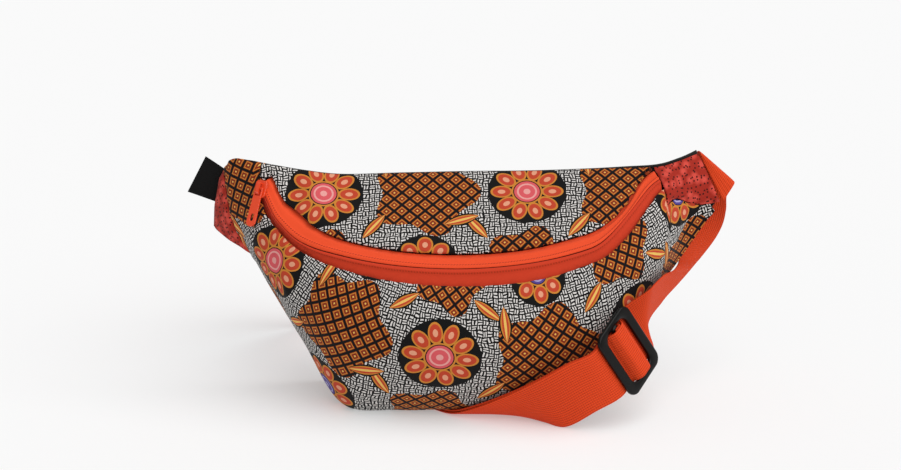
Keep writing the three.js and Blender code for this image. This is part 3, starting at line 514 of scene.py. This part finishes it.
# Red polyester with printed dots: the same matt weave, soft paler spots under small dark dots
wingDye = {"base": "#a3291b", "spot": "#d44c40", "dot": "#48100c"}
wingCloth, tree, shader = newMaterial("dotted plain-weave polyester", Roughness=0.8, Sheen_Weight=0.05,
                                      Specular_IOR_Level=0.15)
field = clothField(tree)
spots = addNode(tree, "TexVoronoi", field, None, 0.13, voronoi_dimensions="2D")
paint = addNode(tree, "MixRGB", addNode(tree, "MapRange", spots, 0.15, 0.5, 1.0, 0.0), toLinear(wingDye["base"]),
                toLinear(wingDye["spot"]))
dots = addNode(tree, "TexVoronoi", field, None, 0.3, voronoi_dimensions="2D")
paint = addNode(tree, "MixRGB", addNode(tree, "Math", dots, 0.2, operation="LESS_THAN"), paint,
                toLinear(wingDye["dot"]))
tree.links.new(paint.outputs[0], shader.inputs["Base Color"])
weaveBump(tree, shader, field, 0.55, 0.25)

# Black polyester over thin foam: matt, so its folds show only by shade
backCloth, tree, shader = newMaterial("black padded polyester", Base_Color=toLinear("#1b1917"), Roughness=0.8,
                                      Sheen_Weight=0.15, Specular_IOR_Level=0.3)
weaveBump(tree, shader, clothField(tree), 0.8, 0.4)

# Woven zip tape: close herringbone, soft highlight, with the coil's stitches showing as two lines. The lower tape is
# the same cloth as the upper; its deeper colour is painted shade for its downward-facing slope
tapeDyeAndShade = {"upper": "#ee4f26", "lower": "#cc3a1c", "stitch": "#b0300f", "stitchAt": 3.1, "stitchWide": 0.5,
           "stitchPitch": 1.9}


def wovenTape(name, base):
    material, tree, shader = newMaterial(name, Roughness=0.75, Sheen_Weight=0.04, Specular_IOR_Level=0.2)
    field = clothField(tree)
    place = addNode(tree, "SeparateXYZ", field)
    aside = addNode(tree, "Math", (place, 1), operation="ABSOLUTE")
    onLine = addNode(tree, "Math", aside, tapeDyeAndShade["stitchAt"], tapeDyeAndShade["stitchWide"], operation="COMPARE")
    beat = addNode(tree, "Math", addNode(tree, "Math", (place, 0), 2 * np.pi / tapeDyeAndShade["stitchPitch"],
                                         operation="MULTIPLY"), operation="SINE")
    dash = addNode(tree, "Math", addNode(tree, "Math", beat, -0.3, operation="GREATER_THAN"), onLine,
                   operation="MULTIPLY")
    paint = addNode(tree, "MixRGB", dash, toLinear(base), toLinear(tapeDyeAndShade["stitch"]))
    tree.links.new(paint.outputs[0], shader.inputs["Base Color"])
    weaveBump(tree, shader, field, 0.5, 0.35)
    return material


upperTape = wovenTape("woven polyester zip tape, upper", tapeDyeAndShade["upper"])
# the lower tape's deeper base colour is painted shade, not a different dye
lowerTape = wovenTape("woven polyester zip tape, lower", tapeDyeAndShade["lower"])
print("cloth materials made")

# Front, top and wings
grid = {"left": 40, "turn": 8, "zip": 240, "step": 3, "wing": 44, "rows": 96}


def frontColumns(start):
    # column positions along the sections, closer together where the upper edge turns
    stops = [(zipShape["left"] - zipShape["endTurn"], grid["left"]), (zipShape["left"], grid["turn"]),
             (frontZipEnd, grid["zip"]), (wingShape["right"], grid["step"]),
             (wingShape["frontEnd"], grid["wing"])]
    lines, last = [], start
    for stop, count in stops:
        lines.append(last[:, None] + (stop - last[:, None]) * np.arange(count) / count)
        last = np.full_like(start, stop)
    return np.concatenate([*lines, last[:, None]], 1)


q = np.linspace(0, 1, grid["rows"] + 1)
leftEdge = wingShape["leftTop"] + (wingShape["leftFoot"] - wingShape["leftTop"]) * q
k = frontColumns(leftEdge + kGap)
t = frontTop(k) + (4 - frontTop(k)) * q[:, None]
frontPanel = addPanel("front_panel", skin(k, t), ("top", "left", "right"), ("top", "left"),
                      int(np.argmin(np.abs(k[0] - 7))), frontPrint, cloth["wall"])

fullTape = zipShape["tape"] + seamShape["gap"]
q = np.linspace(0, 1, 41)[:, None]
topRight = wingFrom(q * zipEdge(topZipEnd, -fullTape)) - wingShape["seam"]
endK = np.linspace(zipShape["left"] + kGap / 2, zipShape["leftTop"], 25)[:-1]
zipK = zipShape["leftTop"] + (topRight - zipShape["leftTop"]) * np.linspace(0, 1, 276)
k = np.concatenate([np.broadcast_to(endK, (41, 24)), zipK], 1)
endFoot = np.stack([zipEdge(at, -fullTape * (at - zipShape["left"]) / (zipShape["leftTop"] - zipShape["left"]))
                    for at in endK])
topFoot = np.concatenate([np.broadcast_to(endFoot, (41, 24)), zipEdge(zipK, -fullTape)], 1) - 0.02
topPanel = addPanel("top_panel", skin(k, q * topFoot), ("top", "foot", "right"), ("foot",),
                    int(np.argmin(np.abs(k[0] - 7))), topPrint, cloth["wall"])

q = np.linspace(0, 1, 49)[:, None]
p = np.linspace(0, 1, 33)
k = p * (wingShape["leftTop"] + (wingShape["leftFoot"] - wingShape["leftTop"]) * q - kGap)
wingLeft = addPanel("wing_left", skin(k, np.broadcast_to(q * 4, k.shape)), ("top", "left", "right"), (), 16,
                    wingCloth, cloth["wall"])
k = wingFrom(q * wingShape["arcDepth"])
k = k + (lastSection - k) * p
wingRight = addPanel("wing_right", skin(k, q * wingArc(k)),
                     ("top", "foot", "left"), (), 16, wingCloth, cloth["wall"])
print("printed panels and wings made")


# Back: rows from its lip over the top seam to its lower edge, seen from the wearer's side
backShape = {"swell": 2.4, "crease": 0.9, "from": 3, "over": 8}


def backFace(k, q):
    # flat between its seams, with a swell of sin^2 both ways and slanting creases where the swell is
    foot = column("footOut", k) - cloth["seamOut"]
    edge = sectionPoint(k, foot, column("foot", k))
    low = np.maximum(edge[..., 2], restHeight(edge[..., 0], edge[..., 1]) + 0.3)
    high = column("top", k) + column("lip", k)
    swell = np.sin(np.pi * np.clip((k - backShape["from"]) / backShape["over"], 0, 1)) ** 2 * np.sin(np.pi * q) ** 2
    crease = np.sin(2.1 * k + 5 * q + 1.2 * np.sin(3 * q + k)) * np.sin(1.3 * k - 4 * q)
    out = foot * q - cloth["backWall"] - swell * (backShape["swell"] + backShape["crease"] * crease)
    return sectionPoint(k, out, high + (low - high) * q)


k, q = np.meshgrid(np.linspace(lastSection, 0, 160), np.linspace(0, 1, 60))
points = backFace(k, q)
uv = clothUv(points, 80).reshape(-1, 2)
shaped, quads = walledGrid(sewn(points, ("top", "left", "right", "foot")), cloth["backWall"] - seamShape["depth"])
backPanel = makePiece("back_panel", shaped, quads, np.concatenate([uv, uv]), backCloth)


# Zip tapes: they run on under the panels' folded edges and rise over the coil beside the middle
def zipTape(name, side, material):
    edge = zipShape["tape"] + zipShape["under"]
    q = np.linspace(0, 1, 25)
    offset = side * (zipShape["slot"] / 2 + (edge - zipShape["slot"] / 2) * (q if side > 0 else 1 - q))
    short = zipShape["short"] * smoothStep(-offset, *zipShape["hem"])  # the upper hem ends before the top seam
    k = np.stack([np.linspace(zipLeft(width) + kGap, zipRight(width) - cut, zipShape["columns"])
                  for width, cut in zip(offset, short)])
    t = np.stack([zipEdge(line, width) for line, width in zip(k, offset)])
    far = np.abs(offset)[:, None]
    p = np.linspace(0, 1, zipShape["columns"])
    middle = smoothStep(p, *zipShape["slider"]) * smoothStep(1 - p, *zipShape["end"])  # none at either end
    lift = zipShape["lift"] * middle * (1 - far / edge)
    t = t - lift * np.stack([zipEdge(line, width + 0.5) - zipEdge(line, width - 0.5)
                             for line, width in zip(k, offset)])
    points = skin(k, t)
    # height: a bump over the coil, a ridge at the middle, a slope down from it and a tuck under the upper panel
    rise = zipShape["coil"] * np.exp(-((far - zipShape["coilAt"]) / zipShape["coilWide"]) ** 2) - zipShape["sink"]
    rise = rise + zipShape["ridge"] * middle - (zipShape["tiltLower"] if side > 0 else zipShape["tiltUpper"]) * far
    rise = rise - (zipShape["tuck"] * smoothStep(far, *zipShape["tuckFrom"]) if side < 0 else 0)
    points = points + facing(points) * rise[..., None]
    along = arcLength(points, 1)
    uv = np.stack([along, np.broadcast_to(-offset[:, None], along.shape)], -1).reshape(-1, 2)
    shaped, quads = walledGrid(points, 0.7)
    makePiece(name, shaped, quads, np.concatenate([uv, uv]), material)


zipTape("zip_tape_upper", -1, upperTape)
zipTape("zip_tape_lower", 1, lowerTape)
print("back and zip made")

# Label: a doubled woven tape sewn into the left seam, bare
labelShape = {"y": 26.3, "thick": 1.2, "topOut": (-180.5, 157.5), "topIn": (-166.6, 147.3), "footIn": (-172.8, 123.7),
              "footOut": (-194.0, 132.0), "bow": 1.0}
labelCloth, tree, shader = newMaterial("woven black label tape", Base_Color=toLinear("#0a0909"), Roughness=0.8,
                                       Specular_IOR_Level=0.2)
weaveBump(tree, shader, clothField(tree), 0.6, 0.4)
p, q = np.meshgrid(np.linspace(0, 1, 25), np.linspace(0, 1, 25))
corner = [np.array(labelShape[name]) for name in ("topOut", "topIn", "footIn", "footOut")]
flat = ((1 - q) * (1 - p))[..., None] * corner[0] + ((1 - q) * p)[..., None] * corner[1] \
    + (q * p)[..., None] * corner[2] + (q * (1 - p))[..., None] * corner[3]
bow = labelShape["bow"] * (1 - p) ** 2
points = np.stack([flat[..., 0], labelShape["y"] - labelShape["thick"] / 2 - bow, flat[..., 1]], -1)
shaped, quads = walledGrid(points, labelShape["thick"])
uv = clothUv(points, 0).reshape(-1, 2)
makePiece("label_tab", shaped, quads, np.concatenate([uv, uv]), labelCloth)

# Belt: rows of the two edges of the webbing, a then b
webbing = {"width": 40.0, "thick": 1.4, "pitch": 1.75, "shift": 0.5}
adjusterShape = {"at": (108.6, -73.5, 50.9), "bars": (0.514, 0.172, -0.84), "run": (-0.508, -0.728, -0.46),
                 "length": 52.0, "width": 39.5, "thick": 3.4, "outerBar": 7.2, "centreBar": 4.8, "end": 5.0,
                 "corner": 7.0, "innerCorner": 6.5}
claspShape = {"at": (-68.0, 60.0, 4.25), "heading": 113.5}
wingRun = np.array([
    (162.2, 12.6, 162.2, 178.6, 3.8, 131.6),
    (162.4, 12.8, 163.4, 186.2, 9.7, 142.0),
    (161.8, 16.6, 163.7, 186.7, 13.0, 142.4),
    (160.3, 21.8, 161.5, 186.3, 18.0, 140.3),
    (156.5, 25.9, 153.6, 183.7, 24.0, 130.6),
    (153.4, 28.0, 139.4, 184.3, 30.0, 117.7),
    (150.7, 26.5, 121.0, 183.1, 38.0, 103.3),
    (149.4, 22.0, 103.3, 177.9, 41.0, 90.8),
    (150.5, 14.0, 88.9, 169.7, 38.0, 80.5),
    (145.7, -8.5, 86.8, 160.0, 23.0, 75.4),
    (135.3, -33.0, 90.3, 148.2, 0.0, 71.9),
    (127.2, -51.0, 90.1, 135.5, -21.0, 66.4),
    (121.5, -60.1, 88.1, 124.0, -44.1, 57.6),
])
# along the adjuster's run and out of its face: under, over and under its bars
adjusterRun = np.array([(-21.5, -2.8), (-14, -2.8), (-10.8, -2.75), (-9, -1.6), (-7.2, 1.4), (-5, 4), (0, 4.6), (5, 4),
                        (7.2, 1.4), (9, -1.6), (10.8, -2.75), (14, -2.8), (21.5, -2.8)])
sewnRun = np.array([(21.5, -4.6), (13.5, -4.6), (9, -4.2), (5, -3.2), (2.2, -2.75), (-1, -2.7), (-3.6, -2.35), (-4, 0),
                    (-3.6, 2.35), (-1, 2.7), (1.6, 2.7)])
underRun = np.array([
    (67.5, -95.2, 49.7, 87.0, -90.2, 14.2),
    (47.0, -93.0, 36.8, 66.8, -85.0, 0.8),
    (27.0, -84.8, 23.0, 54.0, -77.0, 0.7),
    (7.0, -75.5, 10.7, 44.5, -69.0, 0.7),
    (-8.0, -67.0, 3.0, 36.0, -60.5, 0.7),
    (-20.0, -55.5, 0.8, 26.0, -48.0, 0.7),
    (-33.0, -39.0, 0.7, 9.5, -29.0, 0.7),
    (-49.0, -22.0, 0.7, -14.0, -3.0, 0.7),
])
claspRun = np.array([(-56, -3.55), (-40, -3.55), (-32, -3.5), (-27.4, -3.5), (-25, -2.6), (-24.2, 0), (-25, 2.6),
                     (-27.4, 3.5), (-32, 3.5), (-40, 1.2), (-56, -1.7)])
claspFarRun = np.array([(46, 4.6), (32, 3.5), (27.4, 3.5), (25, 2.6), (24.2, 0), (25, -2.6), (27.4, -3.4),
                        (32, -3.4), (46, -3.5)])
shortSewn = ((0.5, 146.0), (0.85, 146.5), (1.2, 146.0))
shortRun = np.array([
    (-146.0, 27.0, 139.0, -154.0, 25.0, 100.5),
    (-136.0, 54.0, 121.0, -153.0, 49.0, 85.0),
    (-123.0, 80.0, 92.0, -148.0, 70.0, 63.0),
    (-106.0, 101.0, 58.0, -135.0, 90.0, 33.0),
    (-91.0, 115.0, 25.0, -123.0, 102.0, 10.0),
])


def pieceAxes(at, bars, run):
    # a hard piece's place, the way of the belt's run, the way of its bars, and out of its face
    across = unit(np.array(bars))
    out = unit(np.cross(np.array(run), across))
    return np.array(at), np.cross(across, out), across, out


def beltRows(axes, run, shift, aSide):
    at, along, across, out = axes
    middle = at + run[:, :1] * along + run[:, 1:] * out + shift * across
    half = aSide * webbing["width"] / 2 * across
    return np.concatenate([middle + half, middle - half], 1)


def returnLayer(rows):
    # the same rows as a second layer on the webbing's other face, taken backwards
    a, b = rows[:, :3], rows[:, 3:]
    ahead = np.gradient((a + b) / 2, axis=0)
    shift = unit(np.cross(ahead, a - b)) * webbing["pitch"]
    return np.concatenate([a + shift, b + shift], 1)[::-1]


def pacedCurve(rows, steps):
    # cubic curve through the rows, its slope at a row set by the distances to the rows on either side
    middle = (rows[:, :3] + rows[:, 3:]) / 2
    chord = np.linalg.norm(np.diff(middle, axis=0), axis=1)[:, None]
    rate = np.diff(rows, axis=0) / chord
    inner = (rate[:-1] * chord[1:] + rate[1:] * chord[:-1]) / (chord[:-1] + chord[1:])
    slope = np.concatenate([rate[:1], inner, rate[-1:]])
    f = (np.arange(steps) / steps)[None, :, None]
    p, r, h = rows[:-1, None], rows[1:, None], chord[:, None]
    curve = p + (r - p) * f * f * (3 - 2 * f) + h * slope[:-1, None] * f * (1 - f) ** 2 \
        - h * slope[1:, None] * f * f * (1 - f)
    return np.concatenate([curve.reshape(-1, 6), rows[-1:]])


def addBelt(name, rows, steps, material):
    # the section is flat with round edges, swept along the rows
    curve = pacedCurve(rows, steps)
    a, b = curve[:, :3], curve[:, 3:]
    middle = (a + b) / 2
    normal = unit(np.cross(np.gradient(middle, axis=0), a - b))
    turn = np.linspace(0, 2 * np.pi, 40, endpoint=False)
    wide = np.sign(np.cos(turn)) * np.abs(np.cos(turn)) ** 0.35
    thick = np.sign(np.sin(turn)) * np.abs(np.sin(turn)) ** 0.35
    ring = middle[:, None] + (a - b)[:, None] / 2 * wide[None, :, None] \
        + normal[:, None] * (webbing["thick"] / 2 * thick)[None, :, None]
    ring[..., 2] = np.maximum(ring[..., 2], 0)
    count, sides = ring.shape[:2]
    index = np.arange(count * sides).reshape(count, sides)
    following = np.roll(index, -1, 1)
    quads = np.stack([index[:-1], following[:-1], following[1:], index[1:]], -1).reshape(-1, 4)
    n = np.arange(1, sides // 2)
    cap = np.stack([n - 1, n, sides - 1 - n, (sides - n) % sides], -1)
    quads = np.concatenate([quads, cap[:, ::-1], cap + (count - 1) * sides])
    length = np.concatenate([[0], np.cumsum(np.linalg.norm(np.diff(middle, axis=0), axis=1))])
    across = wide * webbing["width"] / 2
    uv = np.stack(np.broadcast_arrays(length[:, None] - length[-1] / 2, across[None]), -1).reshape(-1, 2)
    makePiece(name, ring.reshape(-1, 3), quads, uv, material)


# Nylon webbing: heavy ribs along it crossed by picks, dull, with painted shade darkening the grooves between the ribs
webDyeAndShade = {"base": "#e64a20", "grooveShade": "#a82c10", "rib": 1.7, "pick": 1.5}
webCloth, tree, shader = newMaterial("woven nylon webbing", Roughness=0.65, Specular_IOR_Level=0.1)
field = clothField(tree)
waves = addNode(tree, "VectorMath", addNode(tree, "VectorMath", field, (2 * np.pi / webDyeAndShade["pick"],
                                            2 * np.pi / webDyeAndShade["rib"], 0.0), operation="MULTIPLY"), operation="SINE")
place = addNode(tree, "SeparateXYZ", waves)
height = addNode(tree, "Math", addNode(tree, "Math", (place, 0), 0.5, operation="MULTIPLY"), (place, 1),
                 operation="ADD")
# where the weave is low the colour goes toward the darker groove colour: painted shade in the grooves
share = addNode(tree, "MapRange", height, -1.5, 0.5, 0.75, 0.0)
paint = addNode(tree, "MixRGB", share, toLinear(webDyeAndShade["base"]), toLinear(webDyeAndShade["grooveShade"]))
tree.links.new(paint.outputs[0], shader.inputs["Base Color"])
bump = addNode(tree, "Bump", 0.5, 0.0003, None, height)
tree.links.new(bump.outputs[0], shader.inputs["Normal"])

adjusterAxes = pieceAxes(adjusterShape["at"], adjusterShape["bars"], adjusterShape["run"])
heading = np.radians(claspShape["heading"])
claspAxes = pieceAxes(claspShape["at"], (-np.sin(heading), np.cos(heading), 0), (np.cos(heading), np.sin(heading), 0))
longRows = np.concatenate([wingRun, beltRows(adjusterAxes, adjusterRun, -webbing["shift"], -1), underRun,
                           beltRows(claspAxes, claspRun, 0, 1), returnLayer(underRun),
                           beltRows(adjusterAxes, sewnRun, -webbing["shift"], -1)])
rearOut = -cloth["backWall"] - 0.6 - webbing["thick"] / 2
sewnRows = [np.concatenate([sectionPoint(np.array(k), rearOut, np.array(up)),
                            sectionPoint(np.array(k), rearOut, np.array(up - webbing["width"]))])
            for k, up in shortSewn]
shortRows = np.concatenate([sewnRows, shortRun, beltRows(claspAxes, claspFarRun, 0, -1)])
addBelt("belt_long", longRows, 10, webCloth)
addBelt("belt_short", shortRows, 10, webCloth)
print("label and belt made")

# Acetal moulding: satin black with a soft highlight along its rounded edges
plastic, tree, shader = newMaterial("moulded acetal", Base_Color=toLinear("#0a0908"), Roughness=0.3, IOR=1.48,
                                    Specular_IOR_Level=0.22)


def roundedOutline(length, width, corner, count):
    # points round a rectangle: a quarter circle at each corner, joined by straight sides
    x, y = length / 2 - corner, width / 2 - corner
    turn = np.linspace(0, np.pi / 2, count)
    arcs = [np.stack([cx + corner * np.cos(turn + start), cy + corner * np.sin(turn + start)], -1)
            for cx, cy, start in ((x, y, 0), (-x, y, np.pi / 2), (-x, -y, np.pi), (x, -y, 1.5 * np.pi))]
    return np.concatenate(arcs)


def closedSweep(inner, outer, thick, sides):
    # a ring of sections between two outlines: flat top and bottom with round edges
    turn = np.linspace(0, 2 * np.pi, sides, endpoint=False)
    wide = np.sign(np.cos(turn)) * np.abs(np.cos(turn)) ** 0.5
    tall = np.sign(np.sin(turn)) * np.abs(np.sin(turn)) ** 0.5
    middle, half = (inner + outer) / 2, (outer - inner) / 2
    flat = middle[:, None] + half[:, None] * wide[None, :, None]
    points = np.concatenate([flat, np.broadcast_to(thick / 2 * tall[None, :, None], (*flat.shape[:2], 1))], -1)
    index = np.arange(len(inner) * sides).reshape(len(inner), sides)
    down, right = np.roll(index, -1, 0), np.roll(index, -1, 1)
    both = np.roll(down, -1, 1)
    return points.reshape(-1, 3), np.stack([index, down, both, right], -1).reshape(-1, 4)


def roundBar(length, width, thick, sides):
    # a straight bar along y with closed ends
    turn = np.linspace(0, 2 * np.pi, sides, endpoint=False)
    x = width / 2 * np.sign(np.cos(turn)) * np.abs(np.cos(turn)) ** 0.5
    z = thick / 2 * np.sign(np.sin(turn)) * np.abs(np.sin(turn)) ** 0.5
    y = np.linspace(-length / 2, length / 2, 9)
    points = np.stack(np.broadcast_arrays(x[None], y[:, None], z[None]), -1)
    index = np.arange(points.shape[0] * sides).reshape(points.shape[0], sides)
    right = np.roll(index, -1, 1)
    quads = np.stack([index[:-1], index[1:], right[1:], right[:-1]], -1).reshape(-1, 4)
    n = np.arange(1, sides // 2)
    cap = np.stack([n - 1, n, sides - 1 - n, (sides - n) % sides], -1)
    return points.reshape(-1, 3), np.concatenate([quads, cap, cap[:, ::-1] + (len(y) - 1) * sides])


s = adjusterShape
outer = roundedOutline(s["width"], s["length"], s["corner"], 14)
inner = roundedOutline(s["width"] - 2 * s["outerBar"], s["length"] - 2 * s["end"] - webbing["shift"],
                       s["innerCorner"], 14)
inner[:, 1] -= webbing["shift"]  # the opening is centred on the webbing
framePoints, frameQuads = closedSweep(inner, outer, s["thick"], 28)
barPoints, barQuads = roundBar(s["length"] - s["end"], s["centreBar"], s["thick"] - 0.2, 28)
local = np.concatenate([framePoints, barPoints])
quads = np.concatenate([frameQuads, barQuads + len(framePoints)])
at, along, across, out = adjusterAxes
points = at + local[:, :1] * along + local[:, 1:2] * across + local[:, 2:] * out
makePiece("adjuster", points, quads, local[:, :2], plastic)

# Zinc slider and pull under orange enamel: smooth, with a clear small highlight
enamel, tree, shader = newMaterial("enamelled zinc", Base_Color=toLinear("#e8461c"), Roughness=0.35,
                                   Coat_Weight=0.3)
for name, width, material in (("zip_slider", 0.0003, enamel), ("zip_pull", 0.0003, enamel),
                              ("clasp", 0.0008, plastic)):
    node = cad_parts[name]
    node.data.materials.clear()
    node.data.materials.append(material)
    bevel = node.modifiers.new("rounded edges", "BEVEL")
    bevel.width = width
    bevel.segments = 2
    bevel.limit_method = "ANGLE"
    bevel.harden_normals = True
print("adjuster, slider and clasp finished")

# Sizes each cloth piece was cut to (width, length, area), looked up for each piece and not used further
cuts = {"front_panel": (0.40, 0.25, 0.0515), "top_panel": (0.34, 0.075, 0.0142), "wing_left": (0.05, 0.06, 0.0011),
        "wing_right": (0.06, 0.05, 0.00115)}
for piece in (frontPanel, topPanel, wingLeft, wingRight):
    width, length, area = cuts[piece.name.split(".")[0]]

# Camera: level with the photograph's, 18 degrees above the bag's middle
view = {"target": (-10.0, -40.0, 121.2), "distance": 1400.0, "elevation": 18.0, "lens": 83.2}
tilt = np.radians(view["elevation"])
ahead = np.array([0, np.cos(tilt), -np.sin(tilt)])
camera = bpy.data.objects.new("camera", bpy.data.cameras.new("camera"))
scene.collection.objects.link(camera)
camera.data.lens = view["lens"]
camera.data.sensor_width = 36
camera.data.clip_end = 50
camera.location = (np.array(view["target"]) - footprint - ahead * view["distance"]) * 0.001
camera.rotation_euler = (np.pi / 2 - tilt, 0, 0)
scene.camera = camera

# Studio: pale paper with a painted glow that lifts its shadows, a wide soft light from above right and an even fill
studio = {"floor": "#d0d0d0", "half": 8, "glow": 0.33, "fill": 0.37, "key": 2.3, "softness": 75.0,
          "aim": (-0.5, 0.38, -1.0)}
floorMesh = bpy.data.meshes.new("floor")
edge = studio["half"]
floorMesh.from_pydata([(-edge, -edge, 0), (edge, -edge, 0), (edge, edge, 0), (-edge, edge, 0)], [], [(0, 1, 2, 3)])
# the floor's emission is a painted glow that lightens the shadows on it; no lamp lights it from below
floorPaint, tree, shader = newMaterial("studio paper with painted glow", Roughness=0.9,
                                       Base_Color=toLinear(studio["floor"]), Specular_IOR_Level=0.0,
                                       Emission_Color=(1, 1, 1, 1), Emission_Strength=studio["glow"])
floorMesh.materials.append(floorPaint)
floor = bpy.data.objects.new("floor", floorMesh)
scene.collection.objects.link(floor)
sun = bpy.data.objects.new("softbox", bpy.data.lights.new("softbox", "SUN"))
sun.data.energy = studio["key"]
sun.data.angle = np.radians(studio["softness"])
sun.rotation_euler = Vector(studio["aim"]).to_track_quat("-Z", "Y").to_euler()
scene.collection.objects.link(sun)
world = bpy.data.worlds.new("fill light")
world.use_nodes = True
world.node_tree.nodes["Background"].inputs["Strength"].default_value = studio["fill"]
world.node_tree.nodes["Background"].inputs["Color"].default_value = (1, 1, 1, 1)
scene.world = world
scene.view_settings.view_transform = "Standard"
print("camera and studio set")
